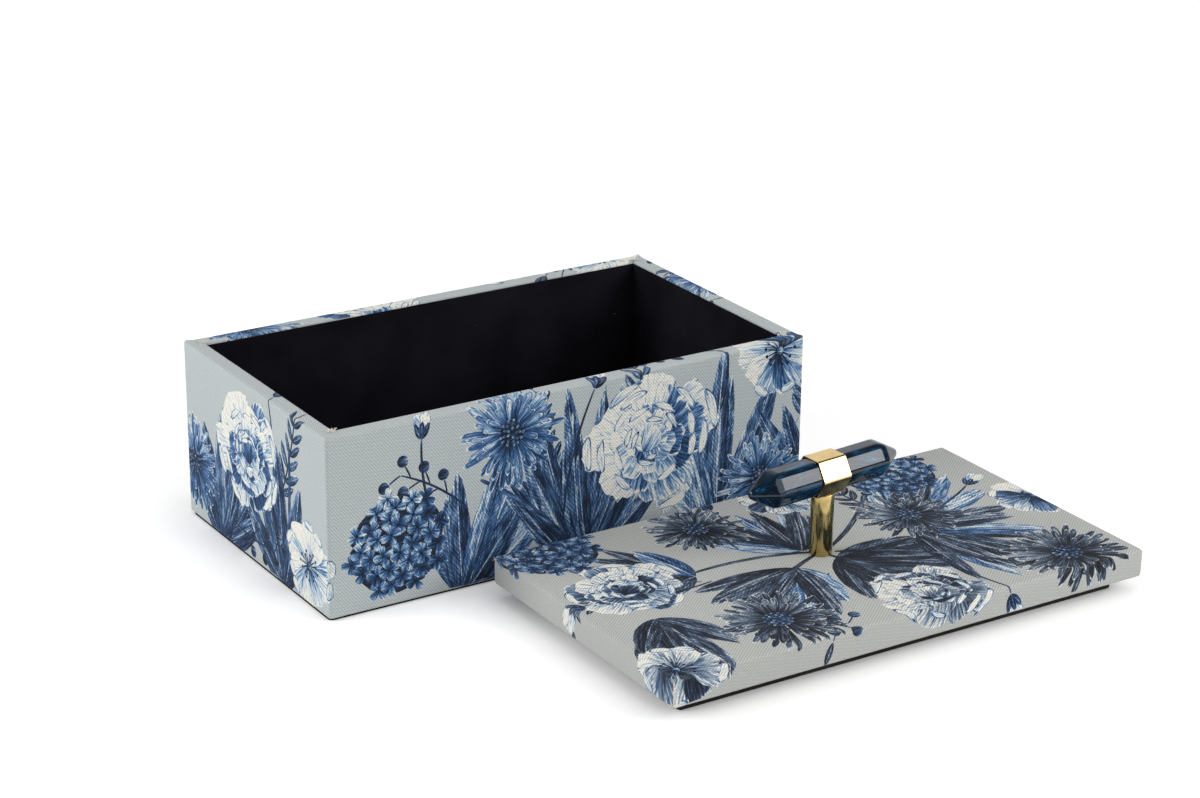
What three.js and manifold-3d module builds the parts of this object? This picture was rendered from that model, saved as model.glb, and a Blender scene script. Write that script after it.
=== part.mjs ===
// Storage box: a cloth-covered board box with a velvet lining, and its lift-off lid lying in front of it.
// Millimetres, +Z up. The origin is the centre of the box's underside, +X runs along the long side
// and -Y points to the front, where the lid lies.
import * as THREE from "three";
import { mergeVertices } from "three/addons/utils/BufferGeometryUtils.js";
import Module from "manifold-3d";

const wasm = await Module();
wasm.setup();

// Box, outside the cloth
const BOX_LENGTH = 260;
const BOX_DEPTH = 148;
const BOX_HEIGHT = 89;

// Layers
const WALL_BOARD = 6.5;
const BASE_BOARD = 6.5;
const CLOTH = 0.75;
const LINING = 1.0;
const BASE_FELT = 1.2;
const GLUE = 0.1; // film between glued layers

// Edges of the boards and of what is wrapped round them
const CORNER_EASE = 1.2; // radius of a board box's upright edges
const RIM_EASE = 0.8; // radius of its long edges, top and bottom
const EASE_STEPS = 4; // facets in each rounded edge

// Box cloth and lining
const RIM_TURN_IN = 18; // how far the cloth runs down inside the walls
const BASE_TURN_UNDER = 14; // how far it runs in under the base
const LINING_BELOW_RIM = 1.0;
const FELT_INSET = 1.8; // base felt, in from the outside of the cloth
const FELT_CORNER = 2;

// Lid
const LID_OVERHANG = 0; // how far the lid stands out past the box on each side
const LID_BOARD = 12;
const LID_TURN_UNDER = 22;
const PLUG_BOARD = 6.5;
const PLUG_VELVET = 0.8;
const PLUG_CLEARANCE = 0.7; // between the plug and the lining, on each side
const PLUG_CORNER = 1.5;

// Where the lid lies
const LID_SIDE_SHIFT = 76.6; // its centre, to the right of the box's centre
const LID_FRONT_GAP = 15.7; // from the front of the box to the lid

// Handle
const HANDLE_AXIS_HEIGHT = 39.4; // centre line of the bar over the top of the lid
const HANDLE_TURN = THREE.MathUtils.degToRad(5.4); // the bar stands a little off the lid's long side
const BAR_LENGTH = 88; // tip to tip
const BAR_FLATS = 16.8; // across the flats of the hexagon
const POINT_LENGTH = 12; // each pointed end
const TIP_FLATS = 3.5; // across the blunt tip
const BAR_EDGE_EASE = 1.7; // radius of the polished edges between its flats
const COLLAR_LENGTH = 16.2;
const COLLAR_WALL = 0.5;
const COLLAR_CLEARANCE = 0.1; // glue gap round the bar in its collar
const POST_DIAMETER = 10.8;
const POST_CHAMFER = 0.4;
const BRAZE_GAP = 0.1; // between the post and the collar
const ROUND_STEPS = 40; // sides of the turned pieces

// Screw that holds the handle, from under the lid board
const SCREW_DIAMETER = 5;
const SCREW_IN_POST = 12;
const SCREW_HEAD_DIAMETER = 9.5;
const SCREW_HEAD_HEIGHT = 3.2;
const SCREW_HEAD_EDGE = 0.8;
const WASHER_DIAMETER = 15;
const WASHER_THICKNESS = 1.2;
const SCREW_CLEARANCE = 0.25; // round the screw and the washer
const THREAD_GAP = 0.1; // between the screw and the post's thread
const HEAD_SINK = 0.8; // how far the head stays above the underside of the board
const SEAT_GAP = 0.05; // between the head, the washer and the board

// Colours, as the pieces show or would show them
const twill = new THREE.MeshStandardMaterial({ color: 0xb4bcc2, roughness: 0.9, metalness: 0 });
const fibreboard = new THREE.MeshStandardMaterial({ color: 0xa9855b, roughness: 0.85, metalness: 0 });
const velvet = new THREE.MeshStandardMaterial({ color: 0x0d0d10, roughness: 1, metalness: 0 });
const felt = new THREE.MeshStandardMaterial({ color: 0x141416, roughness: 1, metalness: 0 });
const brass = new THREE.MeshStandardMaterial({ color: 0xd4ac5c, roughness: 0.18, metalness: 1 });
const resin = new THREE.MeshStandardMaterial({ color: 0x14395c, roughness: 0.12, metalness: 0 });
const steel = new THREE.MeshStandardMaterial({ color: 0xb9bcc0, roughness: 0.35, metalness: 1 });

const storageBox = new THREE.Group();
const box = new THREE.Group();
const lid = new THREE.Group();
const handle = new THREE.Group();
storageBox.add(box, lid);
lid.add(handle);

// Closed geometry to a solid that can be joined and cut, and back

function solidFrom(geometry) {
  const bare = new THREE.BufferGeometry();
  bare.setAttribute("position", geometry.getAttribute("position"));
  bare.setIndex(geometry.getIndex());
  const merged = mergeVertices(bare, 1e-4);
  return new wasm.Manifold(
    new wasm.Mesh({
      numProp: 3,
      vertProperties: merged.getAttribute("position").array,
      triVerts: new Uint32Array(merged.getIndex().array),
    }),
  );
}

function geometryFrom(solid) {
  const mesh = solid.getMesh();
  const geometry = new THREE.BufferGeometry();
  geometry.setAttribute("position", new THREE.BufferAttribute(mesh.vertProperties, mesh.numProp));
  geometry.setIndex(new THREE.BufferAttribute(mesh.triVerts, 1));
  return geometry;
}

function addPiece(group, name, geometry, material) {
  const mesh = new THREE.Mesh(geometry, material);
  mesh.name = name;
  group.add(mesh);
  return mesh;
}

// Forms that several pieces share

// A rectangle round the origin with rounded corners.
function roundedPlan(length, depth, radius) {
  const x = length / 2 - radius;
  const y = depth / 2 - radius;
  const plan = new THREE.Shape();
  plan.absarc(x, y, radius, 0, Math.PI / 2);
  plan.absarc(-x, y, radius, Math.PI / 2, Math.PI);
  plan.absarc(-x, -y, radius, Math.PI, 1.5 * Math.PI);
  plan.absarc(x, -y, radius, 1.5 * Math.PI, 2 * Math.PI);
  return plan;
}

// A plain block between two corners.
function block(low, high) {
  const geometry = new THREE.BoxGeometry(high[0] - low[0], high[1] - low[1], high[2] - low[2]);
  return geometry.translate((low[0] + high[0]) / 2, (low[1] + high[1]) / 2, (low[2] + high[2]) / 2);
}

// A block centred on the Z axis.
function centredBlock(length, depth, bottom, top) {
  return block([-length / 2, -depth / 2, bottom], [length / 2, depth / 2, top]);
}

// A sheet centred on the Z axis with rounded corners and square edges.
function sheet(length, depth, bottom, top, corner) {
  const plan = roundedPlan(length, depth, corner);
  const options = { depth: top - bottom, bevelEnabled: false, curveSegments: EASE_STEPS };
  return new THREE.ExtrudeGeometry(plan, options).translate(0, 0, bottom);
}

// A board block with eased edges, grown outwards by the layers that are wrapped round it.
function easedBlock(length, depth, bottom, top, grow) {
  const corner = CORNER_EASE + grow;
  const edge = RIM_EASE + grow;
  const plan = roundedPlan(length + 2 * grow, depth + 2 * grow, corner);
  const options = {
    depth: top - bottom + 2 * grow - 2 * edge,
    bevelEnabled: true,
    bevelSize: edge,
    bevelThickness: edge,
    bevelOffset: -edge,
    bevelSegments: EASE_STEPS,
    curveSegments: EASE_STEPS,
  };
  return new THREE.ExtrudeGeometry(plan, options).translate(0, 0, bottom - grow + edge);
}

function cylinder(diameter, bottom, top) {
  const geometry = new THREE.CylinderGeometry(diameter / 2, diameter / 2, top - bottom, ROUND_STEPS);
  return geometry.rotateX(Math.PI / 2).translate(0, 0, (bottom + top) / 2);
}

// A closed profile of [radius, height] points turned about the Z axis.
function turned(profile, steps) {
  const points = profile.map(([radius, height]) => new THREE.Vector2(radius, height));
  return new THREE.LatheGeometry(points, steps).rotateX(Math.PI / 2);
}

// Box: sizes worked out from the layers

const wrap = GLUE + CLOTH; // cloth and its glue on a board
const boardLength = BOX_LENGTH - 2 * wrap;
const boardDepth = BOX_DEPTH - 2 * wrap;
const boardBottom = BASE_FELT + GLUE + wrap;
const boardTop = BOX_HEIGHT - wrap;
const innerLength = boardLength - 2 * WALL_BOARD; // between the bare walls
const innerDepth = boardDepth - 2 * WALL_BOARD;
const mouthLength = innerLength - 2 * wrap; // between the turned-in cloth
const mouthDepth = innerDepth - 2 * wrap;
const liningLength = mouthLength - 2 * GLUE; // outside the lining panels
const liningDepth = mouthDepth - 2 * GLUE;
const cavityLength = liningLength - 2 * LINING;
const cavityDepth = liningDepth - 2 * LINING;
const baseTop = boardBottom + BASE_BOARD;
const floorBottom = baseTop + GLUE;
const floorTop = floorBottom + LINING;
const liningTop = BOX_HEIGHT - LINING_BELOW_RIM;

// Boards: each is a plain board trimmed by the box's eased outline

function addBoards() {
  const outline = solidFrom(easedBlock(boardLength, boardDepth, boardBottom, boardTop, 0));
  const past = WALL_BOARD; // each blank runs past the outline, which trims it
  const bottom = boardBottom - past;
  const top = boardTop + past;
  const outerX = boardLength / 2 + past;
  const outerY = boardDepth / 2 + past;
  const innerX = innerLength / 2;
  const innerY = innerDepth / 2;
  const endY = innerY - GLUE;
  const blanks = {
    front_board: block([-outerX, -outerY, bottom], [outerX, -innerY, top]),
    back_board: block([-outerX, innerY, bottom], [outerX, outerY, top]),
    left_board: block([-outerX, -endY, bottom], [-innerX, endY, top]),
    right_board: block([innerX, -endY, bottom], [outerX, endY, top]),
  };
  for (const [name, blank] of Object.entries(blanks)) {
    addPiece(box, name, geometryFrom(solidFrom(blank).intersect(outline)), fibreboard);
  }
  const base = centredBlock(innerLength - 2 * GLUE, innerDepth - 2 * GLUE, boardBottom, baseTop);
  addPiece(box, "base_board", base, fibreboard);
}

// Cloth of the box: one strip round the walls, over the rim, down inside and in under the base

function addBodyCloth() {
  const outside = solidFrom(easedBlock(boardLength, boardDepth, boardBottom, boardTop, wrap));
  const boards = solidFrom(easedBlock(boardLength, boardDepth, boardBottom, boardTop, GLUE));
  const past = BOX_HEIGHT;
  const turnInBottom = BOX_HEIGHT - RIM_TURN_IN;
  const mouth = solidFrom(centredBlock(mouthLength, mouthDepth, turnInBottom - past, BOX_HEIGHT + past));
  const turnIn = solidFrom(
    centredBlock(innerLength - 2 * GLUE, innerDepth - 2 * GLUE, turnInBottom, BOX_HEIGHT + past),
  );
  const windowLength = BOX_LENGTH - 2 * BASE_TURN_UNDER;
  const windowDepth = BOX_DEPTH - 2 * BASE_TURN_UNDER;
  const underside = solidFrom(centredBlock(windowLength, windowDepth, -past, boardBottom));
  const walls = boards.subtract(turnIn.subtract(mouth));
  const cloth = outside.subtract(walls).subtract(mouth).subtract(underside);
  addPiece(box, "body_cloth", geometryFrom(cloth), twill);
}

// Lining: velvet-faced card on the floor and, standing on it, on the four walls

function addLining() {
  const floor = centredBlock(innerLength - 2 * GLUE, innerDepth - 2 * GLUE, floorBottom, floorTop);
  addPiece(box, "lining_floor", floor, velvet);
  const bottom = floorTop + GLUE;
  const halfLength = liningLength / 2;
  const endDepth = cavityDepth / 2 - GLUE;
  for (const [name, side] of [["lining_front", -1], ["lining_back", 1]]) {
    const outer = (side * liningDepth) / 2;
    const inner = (side * cavityDepth) / 2;
    const low = [-halfLength, Math.min(outer, inner), bottom];
    const high = [halfLength, Math.max(outer, inner), liningTop];
    addPiece(box, name, block(low, high), velvet);
  }
  for (const [name, side] of [["lining_left", -1], ["lining_right", 1]]) {
    const outer = (side * liningLength) / 2;
    const inner = (side * cavityLength) / 2;
    const low = [Math.min(outer, inner), -endDepth, bottom];
    const high = [Math.max(outer, inner), endDepth, liningTop];
    addPiece(box, name, block(low, high), velvet);
  }
}

function addBaseFelt() {
  const length = BOX_LENGTH - 2 * FELT_INSET;
  const depth = BOX_DEPTH - 2 * FELT_INSET;
  addPiece(box, "base_felt", sheet(length, depth, 0, BASE_FELT, FELT_CORNER), felt);
}

// Lid: heights from the surface it lies on, upwards

const lidLength = BOX_LENGTH + 2 * LID_OVERHANG;
const lidDepth = BOX_DEPTH + 2 * LID_OVERHANG;
const lidBoardLength = lidLength - 2 * wrap;
const lidBoardDepth = lidDepth - 2 * wrap;
const plugLength = cavityLength - 2 * PLUG_CLEARANCE; // outside its velvet
const plugDepth = cavityDepth - 2 * PLUG_CLEARANCE;
const plugBottom = PLUG_VELVET + GLUE;
const plugTop = plugBottom + PLUG_BOARD;
const lidUnderside = plugTop + GLUE;
const lidBoardBottom = lidUnderside + wrap;
const lidBoardTop = lidBoardBottom + LID_BOARD;
const lidTop = lidBoardTop + wrap;
const screwHole = SCREW_DIAMETER + 2 * SCREW_CLEARANCE;
const sinkDiameter = WASHER_DIAMETER + 2 * SCREW_CLEARANCE;
const sinkTop = lidBoardBottom + HEAD_SINK + SCREW_HEAD_HEIGHT + WASHER_THICKNESS + 2 * SEAT_GAP;

function addLidBoard() {
  const board = solidFrom(easedBlock(lidBoardLength, lidBoardDepth, lidBoardBottom, lidBoardTop, 0));
  const hole = solidFrom(cylinder(screwHole, lidUnderside, lidTop));
  const sink = solidFrom(cylinder(sinkDiameter, lidUnderside, sinkTop));
  addPiece(lid, "lid_board", geometryFrom(board.subtract(hole).subtract(sink)), fibreboard);
}

function addLidCloth() {
  const outside = solidFrom(easedBlock(lidBoardLength, lidBoardDepth, lidBoardBottom, lidBoardTop, wrap));
  const board = solidFrom(easedBlock(lidBoardLength, lidBoardDepth, lidBoardBottom, lidBoardTop, GLUE));
  const windowLength = lidLength - 2 * LID_TURN_UNDER;
  const windowDepth = lidDepth - 2 * LID_TURN_UNDER;
  const underside = solidFrom(centredBlock(windowLength, windowDepth, 0, lidBoardBottom));
  const hole = solidFrom(cylinder(screwHole, lidUnderside, lidTop + CLOTH));
  const cloth = outside.subtract(board).subtract(underside).subtract(hole);
  addPiece(lid, "lid_cloth", geometryFrom(cloth), twill);
}

// Plug: the board that locates the lid in the mouth of the box, and the velvet wrapped over it

function addPlug() {
  const wall = PLUG_VELVET + GLUE;
  const board = centredBlock(plugLength - 2 * wall, plugDepth - 2 * wall, plugBottom, plugTop);
  addPiece(lid, "plug_board", board, fibreboard);
  const outside = solidFrom(sheet(plugLength, plugDepth, 0, plugTop, PLUG_CORNER));
  const room = solidFrom(
    centredBlock(plugLength - 2 * PLUG_VELVET, plugDepth - 2 * PLUG_VELVET, PLUG_VELVET, plugTop + wall),
  );
  addPiece(lid, "plug_velvet", geometryFrom(outside.subtract(room)), velvet);
}

// Handle: a round post, a hexagonal collar and a hexagonal bar with pointed ends

const handleAxis = lidTop + HANDLE_AXIS_HEIGHT;
const collarInnerFlats = BAR_FLATS + 2 * COLLAR_CLEARANCE;
const collarFlats = collarInnerFlats + 2 * COLLAR_WALL;
const postBottom = lidTop + GLUE;
const postTop = handleAxis - collarFlats / 2 - BRAZE_GAP;
const screwTop = postBottom + SCREW_IN_POST;

// Distance from the centre of a hexagon to its corners, for a size across the flats.
function hexagonRadius(flats) {
  return flats / 2 / Math.cos(Math.PI / 6);
}

// A hexagon with flats at the top and the bottom.
function hexagonPoints(flats) {
  const radius = hexagonRadius(flats);
  const corners = [0, 1, 2, 3, 4, 5].map((index) => (index * Math.PI) / 3);
  return corners.map((angle) => new THREE.Vector2(radius * Math.cos(angle), radius * Math.sin(angle)));
}

function addPost() {
  const radius = POST_DIAMETER / 2;
  const thread = SCREW_DIAMETER / 2 + THREAD_GAP;
  const threadTop = screwTop + SCREW_DIAMETER / 2;
  const profile = [
    [0, threadTop + thread], // drilled point of the blind hole
    [thread, threadTop],
    [thread, postBottom],
    [radius - POST_CHAMFER, postBottom],
    [radius, postBottom + POST_CHAMFER],
    [radius, postTop - POST_CHAMFER],
    [radius - POST_CHAMFER, postTop],
    [0, postTop],
  ];
  addPiece(handle, "handle_post", turned(profile, ROUND_STEPS), brass);
}

function addCollar() {
  const ring = new THREE.Shape(hexagonPoints(collarFlats));
  ring.holes.push(new THREE.Path(hexagonPoints(collarInnerFlats)));
  const collar = new THREE.ExtrudeGeometry(ring, { depth: COLLAR_LENGTH, bevelEnabled: false });
  collar.translate(0, 0, -COLLAR_LENGTH / 2).rotateX(Math.PI / 2).rotateZ(Math.PI / 2);
  addPiece(handle, "handle_collar", collar, brass).position.z = handleAxis;
}

// A hexagon with flats at the top and the bottom and rounded corners.
function easedHexagon(flats, ease) {
  const reach = hexagonRadius(flats - 2 * ease);
  const points = [];
  for (let corner = 0; corner < 6; corner += 1) {
    const middle = (corner * Math.PI) / 3;
    for (let step = 0; step <= EASE_STEPS; step += 1) {
      const angle = middle + (Math.PI / 3) * (step / EASE_STEPS - 0.5);
      const y = reach * Math.cos(middle) + ease * Math.cos(angle);
      const z = reach * Math.sin(middle) + ease * Math.sin(angle);
      points.push([y, z]);
    }
  }
  return points;
}

// An outline in Y and Z carried along X through stations of [x, scale], closed at both ends.
function lofted(outline, stations) {
  const count = outline.length;
  const positions = stations.flatMap(([x, scale]) => outline.flatMap(([y, z]) => [x, y * scale, z * scale]));
  const last = stations.length - 1;
  const startCentre = stations.length * count;
  const endCentre = startCentre + 1;
  positions.push(stations[0][0], 0, 0, stations[last][0], 0, 0);
  const faces = [];
  for (let index = 0; index < count; index += 1) {
    const next = (index + 1) % count;
    for (let ring = 0; ring < last; ring += 1) {
      const near = ring * count;
      const far = near + count;
      faces.push(near + index, near + next, far + next, near + index, far + next, far + index);
    }
    faces.push(startCentre, next, index, endCentre, last * count + index, last * count + next);
  }
  const geometry = new THREE.BufferGeometry();
  geometry.setAttribute("position", new THREE.Float32BufferAttribute(positions, 3));
  geometry.setIndex(faces);
  return geometry;
}

function addBar() {
  const half = BAR_LENGTH / 2;
  const shoulder = half - POINT_LENGTH;
  const tip = TIP_FLATS / BAR_FLATS;
  const stations = [[-half, tip], [-shoulder, 1], [shoulder, 1], [half, tip]];
  const bar = lofted(easedHexagon(BAR_FLATS, BAR_EDGE_EASE), stations);
  addPiece(handle, "handle_bar", bar, resin).position.z = handleAxis;
}

function addScrew() {
  const washerTop = sinkTop - SEAT_GAP;
  const washerBottom = washerTop - WASHER_THICKNESS;
  const headTop = washerBottom - SEAT_GAP;
  const headBottom = headTop - SCREW_HEAD_HEIGHT;
  const shank = SCREW_DIAMETER / 2;
  const head = SCREW_HEAD_DIAMETER / 2;
  const screw = [
    [0, headBottom],
    [head - SCREW_HEAD_EDGE, headBottom],
    [head, headBottom + SCREW_HEAD_EDGE],
    [head, headTop],
    [shank, headTop],
    [shank, screwTop],
    [0, screwTop],
  ];
  addPiece(lid, "handle_screw", turned(screw, ROUND_STEPS), steel);
  const inner = screwHole / 2;
  const outer = WASHER_DIAMETER / 2;
  const washer = [
    [inner, washerBottom],
    [outer, washerBottom],
    [outer, washerTop],
    [inner, washerTop],
    [inner, washerBottom],
  ];
  addPiece(lid, "screw_washer", turned(washer, ROUND_STEPS), steel);
}

addBoards();
addBodyCloth();
addLining();
addBaseFelt();
addLidBoard();
addLidCloth();
addPlug();
addPost();
addCollar();
addBar();
addScrew();
handle.rotation.z = HANDLE_TURN;
lid.position.set(LID_SIDE_SHIFT, -(BOX_DEPTH + lidDepth) / 2 - LID_FRONT_GAP, 0);

export default storageBox;
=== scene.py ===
"""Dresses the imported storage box: twill wraps, velvet linings, a resin and brass handle, a white studio."""

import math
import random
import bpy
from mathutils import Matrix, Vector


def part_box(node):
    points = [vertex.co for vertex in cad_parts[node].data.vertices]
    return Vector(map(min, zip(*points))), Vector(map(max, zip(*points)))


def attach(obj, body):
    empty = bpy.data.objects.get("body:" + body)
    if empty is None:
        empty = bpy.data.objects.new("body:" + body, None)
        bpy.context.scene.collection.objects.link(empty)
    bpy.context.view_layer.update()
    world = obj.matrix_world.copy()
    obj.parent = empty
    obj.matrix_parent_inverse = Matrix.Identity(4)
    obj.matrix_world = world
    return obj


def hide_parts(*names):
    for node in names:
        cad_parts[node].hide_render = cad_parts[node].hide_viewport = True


bl_info = {
    "name": "Storage Box With Lift-off Lid",
    "version": (1, 0, 0),
    "blender": (4, 5, 0),
    "location": "View3D > Sidebar > Storage Box",
    "description": "Cloth-covered storage box and its lid, built around the packed model",
    "category": "Object",
}

from collections import namedtuple

import bpy
import numpy as np
from mathutils import Matrix, Vector
from mathutils.geometry import delaunay_2d_cdt

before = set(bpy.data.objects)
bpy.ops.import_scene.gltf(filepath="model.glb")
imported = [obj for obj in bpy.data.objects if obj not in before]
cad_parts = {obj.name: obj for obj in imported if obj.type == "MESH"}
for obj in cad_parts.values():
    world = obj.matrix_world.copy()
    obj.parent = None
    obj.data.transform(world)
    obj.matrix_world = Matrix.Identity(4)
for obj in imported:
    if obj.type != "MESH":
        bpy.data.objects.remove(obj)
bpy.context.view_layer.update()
MM = 0.001

# Plain helpers


def millimetres(name):
    """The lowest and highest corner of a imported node, in millimetres."""
    low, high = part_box(name)
    return [value / MM for value in low], [value / MM for value in high]


def linear(code):
    """The linear colour of an sRGB hex code."""
    parts = [int(code[i : i + 2], 16) / 255 for i in (1, 3, 5)]
    return tuple(p / 12.92 if p <= 0.04045 else ((p + 0.055) / 1.055) ** 2.4 for p in parts) + (1.0,)


def per_metre(size):
    """How often a pattern of a size in millimetres repeats in a metre."""
    return 1 / (size * MM)


def node(tree, kind, inputs=(), stops=(), **settings):
    """Add one shader node; inputs, in order or by key, take a value, an output or a node's first output."""
    made = tree.nodes.new("ShaderNode" + kind)
    for name, value in settings.items():
        setattr(made, name, value)
    keyed = inputs if isinstance(inputs, dict) else dict(enumerate(inputs))
    for key, value in keyed.items():
        if isinstance(value, bpy.types.Node):
            value = value.outputs[0]
        if isinstance(value, bpy.types.NodeSocket):
            tree.links.new(value, made.inputs[key])
        else:
            made.inputs[key].default_value = value
    for index, (place, colour) in enumerate(stops):
        elements = made.color_ramp.elements
        element = elements[index] if index < len(elements) else elements.new(place)
        element.position = place
        element.color = colour
    return made


def blank_material(name):
    """A material with an empty node tree."""
    material = bpy.data.materials.new(name)
    material.use_nodes = True
    material.node_tree.nodes.clear()
    return material, material.node_tree


def dress(piece, body, slot, *replaced):
    """Let a finished piece ride on its body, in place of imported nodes."""
    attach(piece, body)
    if replaced:
        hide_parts(*replaced)


# Modelling steps

TOUCH = 0.01  # places closer than this are the same, in millimetres
FACING = 0.9  # a face whose normal reaches this along a direction faces that way


def name_piece(piece, name):
    """Give a piece and its mesh one name."""
    piece.name = name
    piece.data.name = name


def join_pieces(pieces, name):
    """Join separate meshes into one named piece."""
    bpy.ops.object.select_all(action="DESELECT")
    for piece in pieces:
        piece.select_set(True)
    bpy.context.view_layer.objects.active = pieces[0]
    bpy.ops.object.join()
    name_piece(pieces[0], name)
    return pieces[0]


def pick_edges(piece, wanted):
    """Select the edges in edit mode whose two ends pass a test."""
    bpy.ops.mesh.select_mode(type="EDGE")
    bpy.ops.mesh.select_all(action="DESELECT")
    bpy.ops.object.mode_set(mode="OBJECT")
    points = piece.data.vertices
    for edge in piece.data.edges:
        edge.select = wanted(points[edge.vertices[0]].co / MM, points[edge.vertices[1]].co / MM)
    bpy.ops.object.mode_set(mode="EDIT")


def pick_faces(piece, wanted):
    """Select the faces in edit mode whose normal passes a test."""
    bpy.ops.mesh.select_mode(type="FACE")
    bpy.ops.mesh.select_all(action="DESELECT")
    bpy.ops.object.mode_set(mode="OBJECT")
    for face in piece.data.polygons:
        face.select = wanted(face.normal)
    bpy.ops.object.mode_set(mode="EDIT")


def box_piece(name, low, high):
    """A cube primitive at its size and place, with its scale and place applied, in edit mode."""
    bpy.ops.object.select_all(action="DESELECT")
    centre = [(a + b) / 2 * MM for a, b in zip(low, high)]
    bpy.ops.mesh.primitive_cube_add(size=1.0, location=centre)
    piece = bpy.context.active_object
    name_piece(piece, name)
    piece.scale = [(b - a) * MM for a, b in zip(low, high)]
    bpy.ops.object.transform_apply(location=True, rotation=True, scale=True)
    bpy.ops.object.mode_set(mode="EDIT")
    return piece


def rounded_slab(name, low, high, corner, edge, side, segments):
    """A slab, in edit mode, with rounded upright edges and its upper (1) or lower (-1) rim rounded."""
    piece = box_piece(name, low, high)
    middle = (low[2] + high[2]) / 2
    pick_edges(piece, lambda a, b: (a.z - middle) * (b.z - middle) < 0)
    bpy.ops.mesh.bevel(offset=corner, segments=5, affect="EDGES")
    pick_edges(piece, lambda a, b: min(side * (a.z - middle), side * (b.z - middle)) > 0)
    bpy.ops.mesh.bevel(offset=edge, segments=segments, affect="EDGES")
    return piece


def apply_modifier(piece, name, kind, **settings):
    """Add one modifier with its settings and apply it."""
    modifier = piece.modifiers.new(name, kind)
    for key, value in settings.items():
        setattr(modifier, key, value)
    bpy.ops.object.modifier_apply(modifier=modifier.name)


def smooth_finish(degrees=35.0):
    """Leave edit mode and smooth all edges that turn by less than an angle."""
    bpy.ops.object.mode_set(mode="OBJECT")
    bpy.ops.object.shade_smooth_by_angle(angle=math.radians(degrees))


# Settings


def length_setting(name, description, size):
    """A length in a settings group, given in millimetres."""
    return bpy.props.FloatProperty(
        name=name, description=description, default=size * MM, min=0.0, precision=5, unit="LENGTH"
    )


def colour_setting(name, description, code):
    """A colour in a settings group, given as an sRGB hex code."""
    return bpy.props.FloatVectorProperty(
        name=name, description=description, default=linear(code), size=4, min=0.0, max=1.0, subtype="COLOR"
    )


def angle_setting(name, description, degrees):
    """An angle in a settings group, given in degrees."""
    return bpy.props.FloatProperty(
        name=name, description=description, default=math.radians(degrees), subtype="ANGLE"
    )


def power_setting(name, description, watts):
    """The power of a lamp in a settings group, in watts."""
    return bpy.props.FloatProperty(name=name, description=description, default=watts, min=0.0, unit="POWER")


class ClothSettings(bpy.types.PropertyGroup):
    """Inks, ribs and folds of the printed cloth"""

    ground: colour_setting("Ground", "Unprinted cloth on the box", "#B4BBBC")
    lid_ground: colour_setting("Lid ground", "Unprinted cloth on the lid, a little warmer", "#B4B6B3")
    fold: colour_setting("Fold", "Rubbed cloth along the folds", "#CCCFCC")
    thread: colour_setting("Thread", "Seams and frayed ends", "#C9AE7C")
    blue_deep: colour_setting("Deep blue", "Darkest blue ink", "#152136")
    blue_dark: colour_setting("Dark blue", "Blue ink in shade", "#21395A")
    blue: colour_setting("Blue", "Blue ink", "#41699A")
    blue_pale: colour_setting("Pale blue", "Thin blue ink", "#94B3CD")
    slate_deep: colour_setting("Deep slate", "Darkest slate ink", "#191B22")
    slate_dark: colour_setting("Dark slate", "Slate ink in shade", "#2A2D35")
    slate: colour_setting("Slate", "Slate ink", "#515F73")
    slate_pale: colour_setting("Pale slate", "Thin slate ink", "#A2AEBB")
    cream: colour_setting("Cream", "Lightest parts of the print", "#E6E4DA")
    rib_pitch: length_setting("Rib pitch", "Distance between the twill's ribs on the box", 1.15)
    lid_rib_pitch: length_setting("Lid rib pitch", "The same on the lid, seen foreshortened", 1.25)
    float_pitch: length_setting("Float pitch", "Distance between the threads that break the ribs", 1.6)
    body_lean: angle_setting("Box rib lean", "Turn of the ribs on the box", -39)
    lid_lean: angle_setting("Lid rib lean", "Turn of the ribs on the lid", 50)
    edge_radius: length_setting("Edge radius", "Rounding of the covered boards' long edges", 1.2)
    corner_radius: length_setting("Corner radius", "Rounding of the box's upright edges", 1.55)
    corner_lift: length_setting("Corner lift", "How far the cloth stands up at the rim's corners", 0.8)
    rim_width: length_setting("Rim width", "Wall with its cloth, at the rim", 8.2)
    rim_turn_in: length_setting("Rim turn-in", "How far the cloth runs down inside", 18.0)
    base_turn_under: length_setting("Base turn-under", "How far the cloth runs in under the base", 14.0)
    lid_turn_under: length_setting("Lid turn-under", "How far the cloth runs in under the lid", 22.0)
    edge_steps: bpy.props.IntProperty(
        name="Edge steps", description="Facets in each rounded edge of a covered board", default=5, min=2
    )


class LiningSettings(bpy.types.PropertyGroup):
    """Velvet in the box and on the plug, and the felt under the base"""

    velvet: colour_setting("Velvet", "Upright pile", "#111016")
    pressed: colour_setting("Pressed velvet", "Pile that lies flat", "#1D1C23")
    # The plug's velvet is painted lighter than the box's: painted light on its shaded sides, in place of
    # light bounced up from the floor
    plug: colour_setting("Plug velvet", "Upright pile on the plug, where it is handled", "#2D2A29")
    plug_pressed_painted_lighter: colour_setting("Pressed plug velvet", "Pile on the plug that lies flat", "#3A3735")
    lint: colour_setting("Lint", "Dust caught in the pile", "#8C8E94")
    sheen: colour_setting("Sheen", "Light that the tips of the pile return", "#50525E")
    card_edge: length_setting("Card edge", "Rounding of the lining cards' edges", 0.4)
    felt_proud: length_setting("Felt proud", "How far the felt's soft ends swell past the glued sheet", 0.8)
    felt_corner: length_setting("Felt corner", "Rounding of the base felt's corners", 2.0)
    felt_edge: length_setting("Felt edge", "Rounding of the base felt's upper edge", 0.3)
    plug_corner: length_setting("Plug corner", "Rounding of the plug's upright edges", 1.5)
    plug_edge: length_setting("Plug edge", "Rounding of the plug's lower edge", 0.9)
    plug_proud: length_setting("Plug proud", "How far the pile swells out past the plug's sides", 0.5)
    plug_pile: length_setting("Plug pile", "Thickness of the velvet on the plug", 0.75)


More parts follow.
